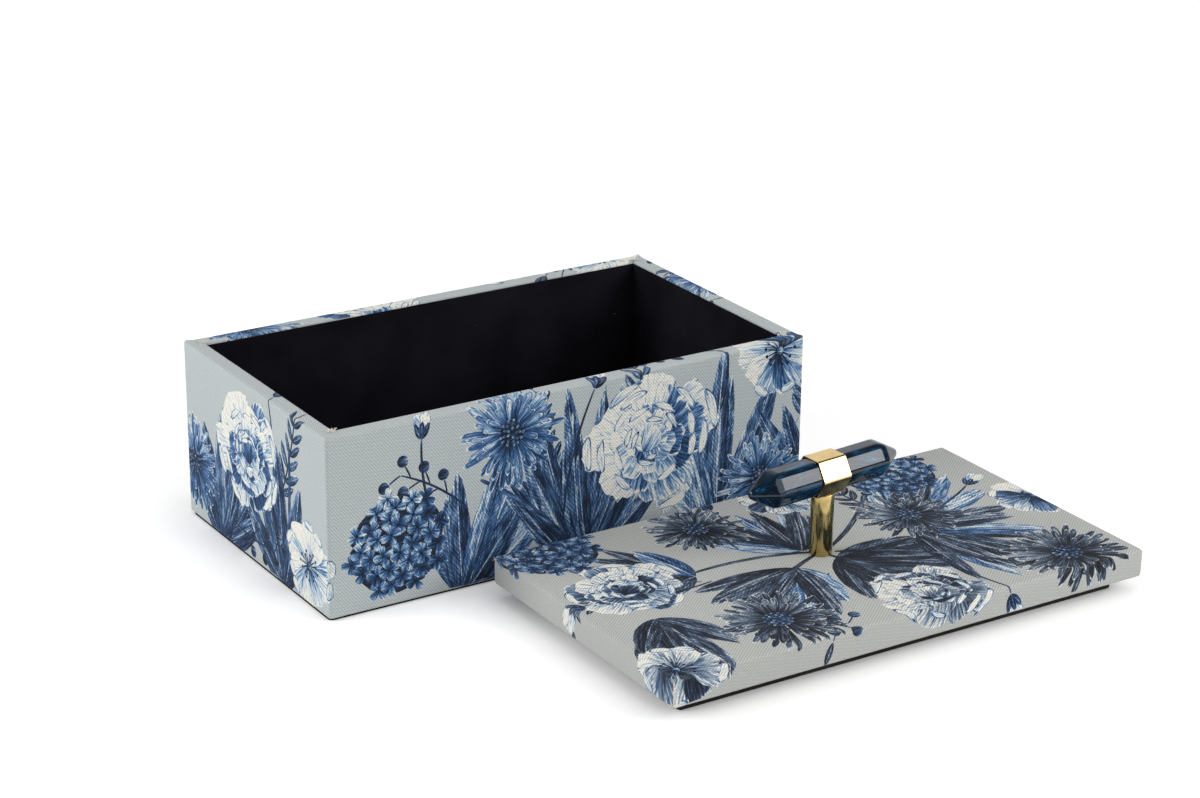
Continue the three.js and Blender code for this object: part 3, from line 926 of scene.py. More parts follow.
def ink_tone(tree, petal):
    """The tone of the print, from 0, the deepest ink, up to bare cream."""
    streak = strokes(tree, petal, STREAK_WIDTH, detail=3.0, roughness=0.65)
    streak = node(tree, "Math", (streak, 2.1, -1.05), operation="MULTIPLY_ADD")
    # Darker at the base of a petal, paler at its tip and its ragged rim
    tip = node(tree, "Math", (petal.along, 0.5), operation="SUBTRACT")
    value = node(tree, "Math", (tip, petal.tone[1], petal.tone[0]), operation="MULTIPLY_ADD")
    value = node(tree, "Math", (streak, 0.72, value), operation="MULTIPLY_ADD")
    ragged = node(tree, "Math", (streak, 0.22, petal.edge), operation="MULTIPLY_ADD")
    rim = node(tree, "MapRange", {"Value": ragged, "From Min": 0.74, "From Max": 0.95})
    forward = node(tree, "MapRange", {"Value": petal.along, "From Min": 0.25, "From Max": 0.6})
    rim = node(tree, "Math", (rim, forward), operation="MULTIPLY")
    value = node(tree, "Math", (rim, petal.tone[2], value), operation="MULTIPLY_ADD")
    veins = leaf_veins(tree, petal, streak)
    value = node(tree, "Math", (veins, petal.size[2], value), operation="MULTIPLY_ADD")
    # Engraver's lines in a middle tone, on dark and pale alike
    lines = strokes(tree, petal, ENGRAVED_WIDTH, detail=1.0, roughness=0.5)
    lines = node(tree, "MapRange", {"Value": lines, "From Min": 0.54, "From Max": 0.64, "To Max": 0.7})
    short = node(tree, "Math", (0.48, value), operation="SUBTRACT")
    value = node(tree, "Math", (short, lines, value), operation="MULTIPLY_ADD")
    # A thin broken outline, about 0.5 mm wide, that darkens the paler petals most
    inner = node(tree, "Math", (1.0, petal.edge), operation="SUBTRACT")
    margin = node(tree, "Math", (inner, petal.size[1]), operation="MULTIPLY")
    outline = node(tree, "MapRange", {"Value": margin, "From Min": 1.1, "From Max": 0.5, "To Max": -0.7})
    broken = node(tree, "MapRange", {"Value": streak, "From Min": -0.2, "From Max": 0.1})
    outline = node(tree, "Math", (outline, broken), operation="MULTIPLY")
    return node(tree, "Math", (outline, petal.tone[0], value), operation="MULTIPLY_ADD")


def printed_colour(tree, settings, ground):
    """Blue or slate ink over the bare ground."""
    petal = petal_frame(tree)
    value = ink_tone(tree, petal)
    slaty = node(tree, "Attribute", attribute_name="petal_ink").outputs["Fac"]
    blues = (settings.blue_deep, settings.blue_dark, settings.blue, settings.blue_pale)
    blue_stops = tuple(zip((0.0, 0.24, 0.44, 0.60, 0.74), (*blues, settings.cream)))
    slates = (settings.slate_deep, settings.slate_dark, settings.slate, settings.slate_pale)
    slate_stops = tuple(zip((0.0, 0.28, 0.46, 0.62, 0.76), (*slates, settings.cream)))
    blue = node(tree, "ValToRGB", {"Fac": value}, blue_stops)
    slate = node(tree, "ValToRGB", {"Fac": value}, slate_stops)
    ink = node(tree, "Mix", {0: slaty, 6: blue, 7: slate}, data_type="RGBA").outputs[2]
    # A petal has a length, and the bare ground has none
    printed = node(tree, "Math", (petal.size[0], 0.01), operation="GREATER_THAN")
    return node(tree, "Mix", {0: printed, 6: ground, 7: ink}, data_type="RGBA").outputs[2]


def worn_colour(tree, settings, colour, flat, patches):
    """Rare dark specks of husk, folds rubbed pale in patches, and thread where two flaps meet."""
    wear = node(tree, "Attribute", attribute_name="cloth_wear").outputs["Fac"]
    # Specks about 0.8 mm across, in some of the cells only
    husks = node(tree, "TexVoronoi", {"Vector": flat, "Scale": 1 / HUSK_SPACING}).outputs
    husk = node(tree, "MapRange", {"Value": husks[0], "From Min": 0.034, "From Max": 0.018})
    rare = node(tree, "SeparateColor", (husks["Color"],))
    rare = node(tree, "MapRange", {"Value": rare, "From Min": 0.55, "From Max": 0.95, "To Max": 0.8})
    husk = node(tree, "Math", (husk, rare), operation="MULTIPLY")
    speckled = {0: husk, 6: colour, 7: settings.slate_dark}
    colour = node(tree, "Mix", speckled, data_type="RGBA").outputs[2]
    rubbing = {"Value": patches, "From Min": 0.35, "From Max": 0.70, "To Max": 0.10}
    rubbed = node(tree, "MapRange", rubbing)
    rubbed = node(tree, "Math", (wear, rubbed), operation="MULTIPLY", use_clamp=True)
    colour = node(tree, "Mix", {0: rubbed, 6: colour, 7: settings.fold}, data_type="RGBA").outputs[2]
    seam = node(tree, "MapRange", {"Value": wear, "From Min": 1.2, "From Max": 1.8, "To Max": 0.7})
    return node(tree, "Mix", {0: seam, 6: colour, 7: settings.thread}, data_type="RGBA").outputs[2]


def twill_ribs(tree, settings, flat, patches, lean, pitch):
    """The height of the ribs, which also sets their painted light and shade; real ones are about 1 mm apart,
    these a little more, so that they show.
    """
    turned = node(tree, "Mapping", {"Vector": flat, "Rotation": (0.0, 0.0, lean)})
    steps = node(tree, "SeparateXYZ", (turned,))
    steps = node(tree, "Math", (patches, 0.5, steps), operation="MULTIPLY_ADD")
    phase = node(tree, "Math", (steps, 2 * math.pi * MM / pitch), operation="MULTIPLY")
    ridge = node(tree, "Math", (phase,), operation="SINE")
    # Crossing threads cut each rib into short floats
    weft = node(tree, "SeparateXYZ", (flat,))
    weft_turn = 2 * math.pi * MM / settings.float_pitch
    weft = node(tree, "Math", (weft, weft_turn), operation="MULTIPLY")
    weft = node(tree, "Math", (weft,), operation="SINE")
    floats = node(tree, "Math", (weft, 0.35, 0.8), operation="MULTIPLY_ADD")
    return node(tree, "Math", (ridge, floats), operation="MULTIPLY")


def twill_material(settings, name, ground, lean, pitch):
    """Printed cotton twill: fine diagonal ribs with painted light and shade, ink drawn along each petal,
    folds rubbed pale.
    """
    material, tree = blank_material(name)
    flat = node(tree, "Attribute", attribute_name="flat_cut").outputs["Vector"]
    patches = node(tree, "TexNoise", {"Vector": flat, "Scale": 1 / RUB_PATCH, "Detail": 2.0})
    colour = printed_colour(tree, settings, ground)
    colour = worn_colour(tree, settings, colour, flat, patches)
    ridge = twill_ribs(tree, settings, flat, patches, lean, pitch)
    # Thread slubs break the ribs up in height and vary the cloth's tone; the ribs' light and shade are also
    # painted into the colour, unevenly along the slubs
    slub = node(tree, "TexNoise", {"Vector": flat, "Scale": 1 / SLUB_LENGTH, "Detail": 2.0})
    unevenness = {"Value": slub, "From Min": 0.3, "From Max": 0.7, "To Min": 0.12, "To Max": 0.32}
    uneven = node(tree, "MapRange", unevenness)
    painted_rib_shade = node(tree, "Math", (ridge, uneven), operation="MULTIPLY")
    # Colour scale: the slubs' own tone, plus the ribs' painted light and shade
    light = node(tree, "Math", (slub, 0.16, 0.92), operation="MULTIPLY_ADD")
    light = node(tree, "Math", (light, painted_rib_shade), operation="ADD")
    scaled = node(tree, "VectorMath", {0: colour, "Scale": light}, operation="SCALE")
    weave = node(tree, "Math", (ridge, 0.06, slub), operation="MULTIPLY_ADD")
    bump = node(tree, "Bump", {"Height": weave, "Strength": 0.35, "Distance": 0.0004})
    finish = {
        "Base Color": scaled,
        "Roughness": 0.85,
        "Specular IOR Level": 0.2,
        "Sheen Weight": 0.03,
        "Sheen Roughness": 0.5,
        "Normal": bump,
    }
    shader = node(tree, "BsdfPrincipled", finish)
    node(tree, "OutputMaterial", {"Surface": shader})
    return material


# Cloth on the box and the lid, folded in millimetres

LIFT_LINES = (1.5, 3.5, 6.5)  # lines this far from a corner let the rim rise there
LIFT_REACH = 3.5  # how far the rise spreads
SEAM_GAP = 0.3  # the print's outlines stop this far from the seam at the back
HIDDEN_PRINT = 2.0  # and this far down inside the rim
FOLD_GUARD = 0.6  # a line this far from a fold keeps the flat side of it flat
CORNER_SOIL = 0.35  # extra wear where two folds cross
SEAM_WEAR = 2.0  # wear in the middle of a corner seam, where thread shows
SEAM_FADE = 0.5  # how much less there is at each step away from it


def straight(section, x, z, *more):
    """Carry a folded section on to its next fold, with a guard line near each end."""
    length, x_from, z_from = section[-1][:3]
    run = math.hypot(x - x_from, z - z_from)
    for share, wear in ((FOLD_GUARD / run, 0.0), (1 - FOLD_GUARD / run, 0.0), (1.0, 1.0)):
        place = (x_from + (x - x_from) * share, z_from + (z - z_from) * share)
        section.append((length + run * share, *place, wear, *more))


def rounded(section, centre, radius, start, steps):
    """Carry a folded section round a quarter turn, clockwise from a start angle."""
    length = section[-1][0]
    for i in range(1, steps + 1):
        turn = math.pi / 2 * i / steps
        angle = start - turn
        place = (centre[0] + radius * math.cos(angle), centre[1] + radius * math.sin(angle))
        section.append((length + radius * turn, *place, 1.0))


def wall_section(settings, low, high):
    """A wall's section: cloth length, distance in from the outside, height and wear; and its fold lines."""
    edge = settings.edge_radius / MM
    rim = settings.rim_width / MM
    steps = settings.edge_steps
    section = [(0.0, settings.base_turn_under / MM, low[2], 0.0)]
    straight(section, edge, low[2])
    base_fold = section[-1][0]
    rounded(section, (edge, low[2] + edge), edge, -math.pi / 2, steps)
    straight(section, 0.0, high[2] - edge)
    rim_fold = section[-1][0]
    rounded(section, (edge, high[2] - edge), edge, math.pi, steps)
    rim_flat = section[-1][0]
    straight(section, rim - edge, high[2])
    rounded(section, (rim - edge, high[2] - edge), edge, math.pi / 2, steps)
    inner_fold = section[-1][0]
    straight(section, rim, high[2] - settings.rim_turn_in / MM)
    return section, (base_fold, rim_fold, rim_flat, inner_fold)


def wall_plan(core_x, core_y, corner, steps):
    """The way round from the middle of the back: run, place, wear, facing; and lines near its corners."""
    facing = math.pi / 2
    plan = [(0.0, 0.0, core_y, 1.0, facing)]
    near_corners = []
    for x, y in ((-core_x, core_y), (-core_x, -core_y), (core_x, -core_y), (core_x, core_y)):
        straight(plan, x, y, facing)
        run = plan[-1][0]
        near_corners += [run - away for away in LIFT_LINES]
        for i in range(1, steps + 1):
            bend = math.pi / 2 * i / steps
            plan.append((run + corner * bend, x, y, 1.0, facing + bend))
        near_corners += [plan[-1][0] + away for away in LIFT_LINES]
        facing += math.pi / 2
    straight(plan, 0.0, core_y, facing)
    return plan, near_corners


class BodyWrap(bpy.types.Operator):
    """Wrap the box in one strip of printed twill, turned in over the rim and under the base"""

    bl_idname = "storage_box.body_wrap"
    bl_label = "Body wrap"

    def execute(self, context):
        settings = context.scene.box_cloth
        low, high = millimetres("body_cloth")
        corner = settings.corner_radius / MM
        core_x, core_y = high[0] - corner, high[1] - corner
        section, (base_fold, rim_fold, rim_flat, inner_fold) = wall_section(settings, low, high)
        lengths, insets, heights, fold_wear = (np.array(column) for column in zip(*section))
        plan, near_corners = wall_plan(core_x, core_y, corner, settings.edge_steps)
        stations, centre_x, centre_y, corner_wear, facings = (np.array(column) for column in zip(*plan))
        around = stations[-1]
        art = draw_print(BODY_PRINT)
        hidden = inner_fold + HIDDEN_PRINT - base_fold

        def open_to_lines(points):
            level = (points[:, 1] > 0.0) & (points[:, 1] < hidden)
            return level & (points[:, 0] > SEAM_GAP) & (points[:, 0] < around - SEAM_GAP)

        points, edges = shown_edges(art, open_to_lines)
        points = [(x, y + base_fold) for x, y in points]
        near_rim = [rim_fold - away for away in LIFT_LINES]
        near_rim += [rim_flat + away for away in LIFT_LINES[:2]]
        rules = grid_rules(sorted((*stations, *near_corners)), sorted((*lengths, *near_rim)))
        flat, faces = cut(points, edges, rules)
        inset = np.interp(flat[:, 1], lengths, insets)
        height = np.interp(flat[:, 1], lengths, heights)
        angle = np.interp(flat[:, 0], stations, facings)
        round_corner = np.maximum(corner - inset, 0.0)
        shrink = np.maximum(inset - corner, 0.0)
        x = np.interp(flat[:, 0], stations, centre_x) * (core_x - shrink) / core_x
        y = np.interp(flat[:, 0], stations, centre_y) * (core_y - shrink) / core_y
        x += round_corner * np.cos(angle)
        y += round_corner * np.sin(angle)
        places = np.column_stack((x, y, height))
        # Doubled cloth stands up a little at the rim's corners, and is soiled there
        away = np.hypot(np.abs(places[:, 0]) - high[0], np.abs(places[:, 1]) - high[1])
        upper = np.clip((height - high[2]) / LIFT_LINES[-1] + 1.0, 0.0, 1.0)
        places[:, 2] += settings.corner_lift / MM * np.exp(-((away / LIFT_REACH) ** 2)) * upper
        folded = np.interp(flat[:, 1], lengths, fold_wear)
        turned = np.interp(flat[:, 0], stations, corner_wear)
        wear = np.maximum(folded, turned) + CORNER_SOIL * folded * turned
        piece = cloth_mesh("body_wrap", art, flat - np.array((0.0, base_fold)), faces, places, wear)
        name = "printed cotton twill, body"
        twill = twill_material(settings, name, settings.ground, settings.body_lean, settings.rib_pitch)
        piece.data.materials.append(twill)
        dress(piece, "box", "printed_twill", "body_cloth")
        return {"FINISHED"}


CORNERS = ((-1, -1), (-1, 1), (1, -1), (1, 1))  # signs of x and y
CORNER_GUARDS = (0.0, 0.8, 1.6)  # lines on a flap, this far from its ends
FLAP_GAP = 0.4  # the print's outlines stop this far short of the last of them


def lid_section(settings, low, high):
    """The lid's section over an edge: cloth length, distance out, height and wear; and its last fold."""
    edge = settings.edge_radius / MM
    steps = settings.edge_steps
    section = [(0.0, 0.0, high[2], 1.0)]
    rounded(section, (0.0, high[2] - edge), edge, math.pi / 2, steps)
    straight(section, edge, low[2] + edge)
    rounded(section, (0.0, low[2] + edge), edge, 0.0, steps)
    under_fold = section[-1][0]
    straight(section, edge - settings.lid_turn_under / MM, low[2])
    return section, under_fold


def flap_rules(half, section, under_fold):
    """Fold lines of the four flaps round a flat top, with their mitred ends and guard lines near them."""
    rules = []
    for axis in (0, 1):
        across, along = half[axis], half[1 - axis]
        lines = [(-FOLD_GUARD, along)]
        lines += [(row[0], along + (min(row[1], 0.0) if row[0] > under_fold else 0.0)) for row in section]
        far, out = section[-1][:2]
        for sign in (-1, 1):
            pairs = []
            for place, end in lines:
                level = sign * (across + place)
                pairs.append(((level, -end), (level, end)))
            for hand in (-1, 1):
                for guard in CORNER_GUARDS:
                    side = hand * (along - guard)
                    pairs.append(((sign * across, side), (sign * (across + under_fold), side)))
                mitre = (sign * (across + far), hand * (along + out))
                pairs.append(((sign * (across + under_fold), hand * along), mitre))
            rules += pairs if axis == 0 else [tuple(end[::-1] for end in pair) for pair in pairs]
    return rules


def corner_patch(half, folds, edge, steps, signs, second):
    """Half of a rounded corner between two flaps: flat places, plan, heights, wear and faces."""
    drawn, plan, heights, wear = [], [], [], []
    for length, out, level, _ in folds:
        for i in range(steps + 1):
            turn = math.pi / 4 * (i + steps * second) / steps
            arc = edge * (math.pi / 2 - turn if second else turn)
            spot = (half[0] + arc, half[1] + length) if second else (half[0] + length, half[1] + arc)
            drawn.append((signs[0] * spot[0], signs[1] * spot[1]))
            x = half[0] + out * math.cos(turn)
            y = half[1] + out * math.sin(turn)
            plan.append((signs[0] * x, signs[1] * y))
            heights.append(level)
            wear.append(max(1.0, SEAM_WEAR - SEAM_FADE * abs(i + steps * second - steps)))
    faces = []
    for row in range(len(folds) - 1):
        for i in range(steps):
            a = row * (steps + 1) + i
            quad = (a, a + steps + 1, a + steps + 2, a + 1)
            if signs[0] * signs[1] < 0:
                quad = quad[::-1]
            faces += [(quad[0], quad[1], quad[2]), (quad[0], quad[2], quad[3])]
    return np.array(drawn), np.array(plan), np.array(heights), np.array(wear), np.array(faces)


class LidWrap(bpy.types.Operator):
    """Cover the lid in printed twill, folded down at the edges and turned under"""

    bl_idname = "storage_box.lid_wrap"
    bl_label = "Lid wrap"

    def execute(self, context):
        settings = context.scene.box_cloth
        low, high = millimetres("lid_cloth")
        middle = np.array((low[0] + high[0], low[1] + high[1])) / 2
        edge = settings.edge_radius / MM
        steps = settings.edge_steps
        half = np.array(high[:2]) - middle - edge
        section, under_fold = lid_section(settings, low, high)
        lengths, outs, heights, fold_wear = (np.array(column) for column in zip(*section))
        art = draw_print(LID_PRINT)

        def open_to_lines(points):
            over = np.abs(points) - half
            folded = over.max(1) < under_fold
            return folded & ~(over > -CORNER_GUARDS[-1] - FLAP_GAP).all(1)

        points, edges = shown_edges(art, open_to_lines)
        flat, faces = cut(points, edges, flap_rules(half, section, under_fold))
        middles = np.abs(flat[faces].mean(1)) - half
        past = middles.max(1)
        mitred = np.where(past > under_fold, under_fold - past, 0.0)
        faces = faces[(past < 0) | ((middles.min(1) < mitred) & (past < lengths[-1]))]
        over = np.abs(flat) - half
        out = np.interp(np.maximum(over, 0.0), lengths, outs)
        height = np.interp(np.maximum(over.max(1), 0.0), lengths, heights)
        plan = np.where(over > 0, np.sign(flat) * (half + out), flat)
        wear = np.interp(over.max(1), (-FOLD_GUARD, *lengths), (0.0, *fold_wear))
        flap_end = np.interp(over.min(1), (-CORNER_GUARDS[1], 0.0), (0.0, 1.0))
        wear = np.where(over.max(1) > 0, np.maximum(wear, flap_end), wear)
        folds = [row for row in section if row[0] <= under_fold]
        for signs in CORNERS:
            for second in (0, 1):
                patch = corner_patch(half, folds, edge, steps, signs, second)
                faces = np.vstack((faces, patch[4] + len(flat)))
                flat = np.vstack((flat, patch[0]))
                plan = np.vstack((plan, patch[1]))
                height = np.concatenate((height, patch[2]))
                wear = np.concatenate((wear, patch[3]))
        piece = cloth_mesh("lid_wrap", art, flat, faces, np.column_stack((plan + middle, height)), wear)
        lean, pitch = settings.lid_lean, settings.lid_rib_pitch
        twill = twill_material(settings, "printed cotton twill, lid", settings.lid_ground, lean, pitch)
        piece.data.materials.append(twill)
        dress(piece, "lid", "printed_twill", "lid_cloth")
        return {"FINISHED"}


# Frayed ends and seam threads, in millimetres

THREAD_SEED = 5
THREAD_BEND = 0.6  # share of the way to its bowed middle that a thread's handles reach
RIM_ENDS = 24  # at each corner of the rim
RIM_END_RADIUS = 0.19
RIM_END_INSET = 0.3  # roots stand this far out from the rim's inner edge
RIM_END_DEPTH = 0.1  # and this far under its top
SEAM_INSET = 0.29  # a round corner's middle lies in from the square one by this share of its radius
SEAM_STOP = 1.4  # a seam's thread stops this far from the lid's top and underside
SEAM_RADIUS = 0.17
SEAM_BOW = Vector((0.1, 0.1, 0.0))
SEAM_ENDS = 3  # loose ends at the top of each seam
SEAM_END_RADIUS = 0.10
SEAM_END_BOW = Vector((0.3, 0.3, 0.2))


def thread_material(settings, name):
    """Undyed cotton thread: dull cream, a little uneven along its length."""
    material, tree = blank_material(name)
    coords = node(tree, "TexCoord").outputs["Object"]
    twist = node(tree, "TexNoise", {"Vector": coords, "Scale": per_metre(0.4), "Detail": 1.0})
    colour = node(tree, "ValToRGB", {"Fac": twist}, ((0.25, settings.thread), (0.45, settings.cream)))
    finish = {"Base Color": colour, "Roughness": 0.9, "Specular IOR Level": 0.2}
    shader = node(tree, "BsdfPrincipled", finish)
    node(tree, "OutputMaterial", {"Surface": shader})
    return material


def loose_thread(start, end, bow, radius):
    """A bent end of thread between two places in millimetres, as a thin closed tube."""
    bpy.ops.object.select_all(action="DESELECT")
    bpy.ops.curve.primitive_bezier_curve_add()
    curve = bpy.context.active_object.data
    middle = (start + end) / 2 + bow
    for point, place in zip(curve.splines[0].bezier_points, (start, end)):
        point.handle_left_type = "FREE"
        point.handle_right_type = "FREE"
        point.co = place * MM
        bent = place.lerp(middle, THREAD_BEND) * MM
        point.handle_left = bent
        point.handle_right = bent
    curve.bevel_depth = radius * MM
    curve.bevel_resolution = 1
    curve.resolution_u = 6
    curve.use_fill_caps = True
    bpy.ops.object.convert(target="MESH")
    return bpy.context.active_object


def random_vector(draw, *spans):
    """A vector whose parts are each drawn from a range, or are a number that stays."""
    return Vector([draw.uniform(*span) if isinstance(span, tuple) else span for span in spans])


def fray_rim(settings, draw):
    """Short frayed ends at the inner end of each mitre of the rim."""
    _, high = millimetres("body_cloth")
    inset = settings.rim_width / MM - RIM_END_INSET
    ends = []
    for sign_x, sign_y in CORNERS:
        root = Vector((sign_x * (high[0] - inset), sign_y * (high[1] - inset), high[2] - RIM_END_DEPTH))
        mitre = Vector((sign_x, sign_y, 0.0))
        for _ in range(RIM_ENDS):
            off_mitre = random_vector(draw, (-1.0, 1.0), (-1.0, 1.0), 0.0)
            start = root + mitre * draw.uniform(0.2, 1.8) + off_mitre
            lean = random_vector(draw, (-1.0, 1.0), (-1.0, 1.0), (0.2, 0.9))
            end = start + lean * draw.uniform(0.9, 1.9)
            bow = random_vector(draw, (-0.4, 0.4), (-0.4, 0.4), 0.3)
            ends.append(loose_thread(start, end, bow, RIM_END_RADIUS))
    return join_pieces(ends, "rim_frays")


def stitch_seams(settings, draw):
    """A thread down each corner seam of the lid, with a few loose ends at its top."""
    low, high = millimetres("lid_cloth")
    inset = SEAM_INSET * settings.edge_radius / MM
    threads = []
    for sign_x, sign_y in CORNERS:
        outward = Vector((sign_x, sign_y, 1.0))
        x = high[0] - inset if sign_x > 0 else low[0] + inset
        y = high[1] - inset if sign_y > 0 else low[1] + inset
        top = Vector((x, y, high[2] - SEAM_STOP))
        bottom = Vector((x, y, low[2] + SEAM_STOP))
        threads.append(loose_thread(top, bottom, SEAM_BOW * outward, SEAM_RADIUS))
        for _ in range(SEAM_ENDS):
            lean = random_vector(draw, (0.1, 0.5), (0.1, 0.5), (-0.7, 0.6)) * outward
            end = top + lean * draw.uniform(1.2, 2.4)
            threads.append(loose_thread(top, end, SEAM_END_BOW * outward, SEAM_END_RADIUS))
    return join_pieces(threads, "lid_seam_threads")


class CornerThreads(bpy.types.Operator):
    """Add the frayed ends at the rim's mitred corners and the thread in the lid's corner seams"""

    bl_idname = "storage_box.corner_threads"
    bl_label = "Corner threads"

    def execute(self, context):
        settings = context.scene.box_cloth
        cotton = thread_material(settings, "frayed cotton thread")
        draw = random.Random(THREAD_SEED)
        rim = fray_rim(settings, draw)
        seams = stitch_seams(settings, draw)
        for piece, body in ((rim, "box"), (seams, "lid")):
            piece.data.materials.clear()
            piece.data.materials.append(cotton)
            dress(piece, body, "printed_twill")
        return {"FINISHED"}


# Velvet and felt


def velvet_material(settings, name, upright, pressed):
    """Short-pile black velvet or felt: dark, with a faint sheen, pressed patches and a little lint."""
    material, tree = blank_material(name)
    coords = node(tree, "TexCoord").outputs["Object"]
    # Pile tufts about 0.5 mm apart, pressed patches of about 30 mm, and flecks of lint in a few places
    tufts = node(tree, "TexNoise", {"Vector": coords, "Scale": per_metre(0.5263), "Detail": 2.0})
    patches = node(tree, "TexNoise", {"Vector": coords, "Scale": per_metre(29.41), "Detail": 3.0})
    lint = node(tree, "TexVoronoi", {"Vector": coords, "Scale": per_metre(7.143)})
    fleck = node(tree, "MapRange", {"Value": lint, "From Min": 0.055, "From Max": 0.03})
    rare = node(tree, "TexNoise", {"Vector": coords, "Scale": per_metre(16.67), "Detail": 1.0})
    rare = node(tree, "MapRange", {"Value": rare, "From Min": 0.57, "From Max": 0.66, "To Max": 0.6})
    fleck = node(tree, "Math", (fleck, rare), operation="MULTIPLY")
    pile = node(tree, "ValToRGB", {"Fac": patches}, ((0.3, upright), (0.7, pressed)))
    colour = node(tree, "Mix", {0: fleck, 6: pile, 7: settings.lint}, data_type="RGBA").outputs[2]
    bump = node(tree, "Bump", {"Height": tufts, "Strength": 0.5, "Distance": 0.0003})
    finish = {
        "Base Color": colour,
        "Roughness": 0.95,
        "Specular IOR Level": 0.05,
        "Sheen Weight": 0.06,
        "Sheen Roughness": 0.4,
        "Sheen Tint": settings.sheen,
        "Normal": bump,
    }
    shader = node(tree, "BsdfPrincipled", finish)
    node(tree, "OutputMaterial", {"Surface": shader})
    return material


def swell(low, high, proud, *axes):
    """Move two corners apart along some axes, as far as soft pile stands proud of its sheet."""
    for axis in axes:
        low[axis] -= proud / MM
        high[axis] += proud / MM


class Linings(bpy.types.Operator):
    """Line the walls and the floor of the box with velvet-faced card"""

    bl_idname = "storage_box.linings"
    bl_label = "Linings"

    def execute(self, context):
        settings = context.scene.box_lining
        velvet = velvet_material(settings, "black cotton velvet", settings.velvet, settings.pressed)
        for wall in ("floor", "front", "back", "left", "right"):
            source = "lining_" + wall
            low, high = millimetres(source)
            piece = box_piece("velvet_" + wall, low, high)
            bpy.ops.mesh.select_all(action="SELECT")
            bpy.ops.mesh.bevel(offset=settings.card_edge, segments=3, affect="EDGES")
            smooth_finish()
            piece.data.materials.append(velvet)
            dress(piece, "box", "black_velvet", source)
        return {"FINISHED"}


class BaseFelt(bpy.types.Operator):
    """Lay a felt sheet under the base"""

    bl_idname = "storage_box.base_felt"
    bl_label = "Base felt"

    def execute(self, context):
        settings = context.scene.box_lining
        low, high = millimetres("base_felt")
        swell(low, high, settings.felt_proud, 0)
        corner, edge = settings.felt_corner, settings.felt_edge
        piece = rounded_slab("felt_sheet", low, high, corner, edge, side=1, segments=2)
        smooth_finish()
        felt = velvet_material(settings, "pressed black felt", settings.velvet, settings.pressed)
        piece.data.materials.append(felt)
        dress(piece, "box", "black_felt", "base_felt")
        return {"FINISHED"}


class PlugCover(bpy.types.Operator):
    """Wrap the locating board under the lid in velvet"""

    bl_idname = "storage_box.plug_cover"
    bl_label = "Plug cover"

    def execute(self, context):
        settings = context.scene.box_lining
        low, high = millimetres("plug_velvet")
        swell(low, high, settings.plug_proud, 0, 1)
        corner, edge = settings.plug_corner, settings.plug_edge
        piece = rounded_slab("plug_cover", low, high, corner, edge, side=-1, segments=4)
        pick_faces(piece, lambda normal: normal.z > FACING)
        bpy.ops.mesh.delete(type="FACE")
        bpy.ops.object.mode_set(mode="OBJECT")
        apply_modifier(piece, "pile", "SOLIDIFY", thickness=settings.plug_pile, offset=-1.0)
        smooth_finish()
        # The plug's velvet colours are painted lighter, in place of light bounced from the floor into the
        # shade under the lid
        velvet = velvet_material(settings, "black velvet, plug", settings.plug, settings.plug_pressed_painted_lighter)
        piece.data.materials.append(velvet)
        dress(piece, "lid", "black_velvet", "plug_velvet")
        return {"FINISHED"}


# Handle

COLLAR_LINES = (25.0, 0.4167, 0.4167)  # drawing lines on the collar, along x, y and z in millimetres
POST_LINES = (1.111, 1.111, 25.0)  # coarser ones on the post
VEILS = (18.18, 4.0, 4.0)  # veils in the resin, drawn out along the bar
FACET_BEND = 30.0  # edges that turn by more than this, in degrees, stay crisp
GROUND_EDGE = 25.0  # the bar's edges that turn by more than this are ground off
WORN_EDGE = 60.0  # and the collar's that turn by more than this are worn


def brass_material(name, line_size, depth, tones):
    """Polished, lacquered brass: a pale warm mirror with drawing lines of a given size and finger haze."""
    material, tree = blank_material(name)
    coords = node(tree, "TexCoord").outputs["Object"]
    drawn = node(tree, "Mapping", {"Vector": coords, "Scale": [per_metre(size) for size in line_size]})
    lines = node(tree, "TexNoise", {"Vector": drawn, "Scale": 1.0, "Detail": 3.0})
    # Haze in patches of about 6 mm
    haze = node(tree, "TexNoise", {"Vector": coords, "Scale": per_metre(6.25), "Detail": 4.0})
    colour = node(tree, "ValToRGB", {"Fac": haze}, tuple(zip((0.35, 0.65), tones)))
    dulled = {"Value": haze, "From Min": 0.3, "From Max": 0.7, "To Min": 0.08, "To Max": 0.17}
    rough = node(tree, "MapRange", dulled)
    bump = node(tree, "Bump", {"Height": lines, "Strength": depth, "Distance": 0.0001})
    finish = {"Base Color": colour, "Metallic": 1.0, "Roughness": rough, "Normal": bump}
    shader = node(tree, "BsdfPrincipled", finish)
    node(tree, "OutputMaterial", {"Surface": shader})
    return material


def resin_material(settings, name):
    """Cast resin, ground into facets and polished: nearly black blue with teal veils under a hard gloss."""
    material, tree = blank_material(name)
    coords = node(tree, "TexCoord").outputs["Object"]
    drawn = node(tree, "Mapping", {"Vector": coords, "Scale": [per_metre(size) for size in VEILS]})
    swirl = {"Vector": drawn, "Scale": 1.0, "Detail": 5.0, "Roughness": 0.6, "Distortion": 1.4}
    veil = node(tree, "TexNoise", swirl)
    blues = (settings.resin_deep, settings.resin, settings.resin_blue, settings.resin_teal)
    tints = (*blues, settings.resin_glint)
    colour = node(tree, "ValToRGB", {"Fac": veil}, tuple(zip((0.36, 0.52, 0.62, 0.71, 0.80), tints)))
    shader = node(tree, "BsdfPrincipled", {"Base Color": colour, "Roughness": 0.05, "IOR": 1.52})
    node(tree, "OutputMaterial", {"Surface": shader})
    return material


def set_in_place(piece, place, turn):
    """Turn a piece about the upright axis, move it and apply both."""
    piece.rotation_euler = (0.0, 0.0, turn)
    piece.location = [value * MM for value in place]
    bpy.ops.object.transform_apply(location=True, rotation=True, scale=True)


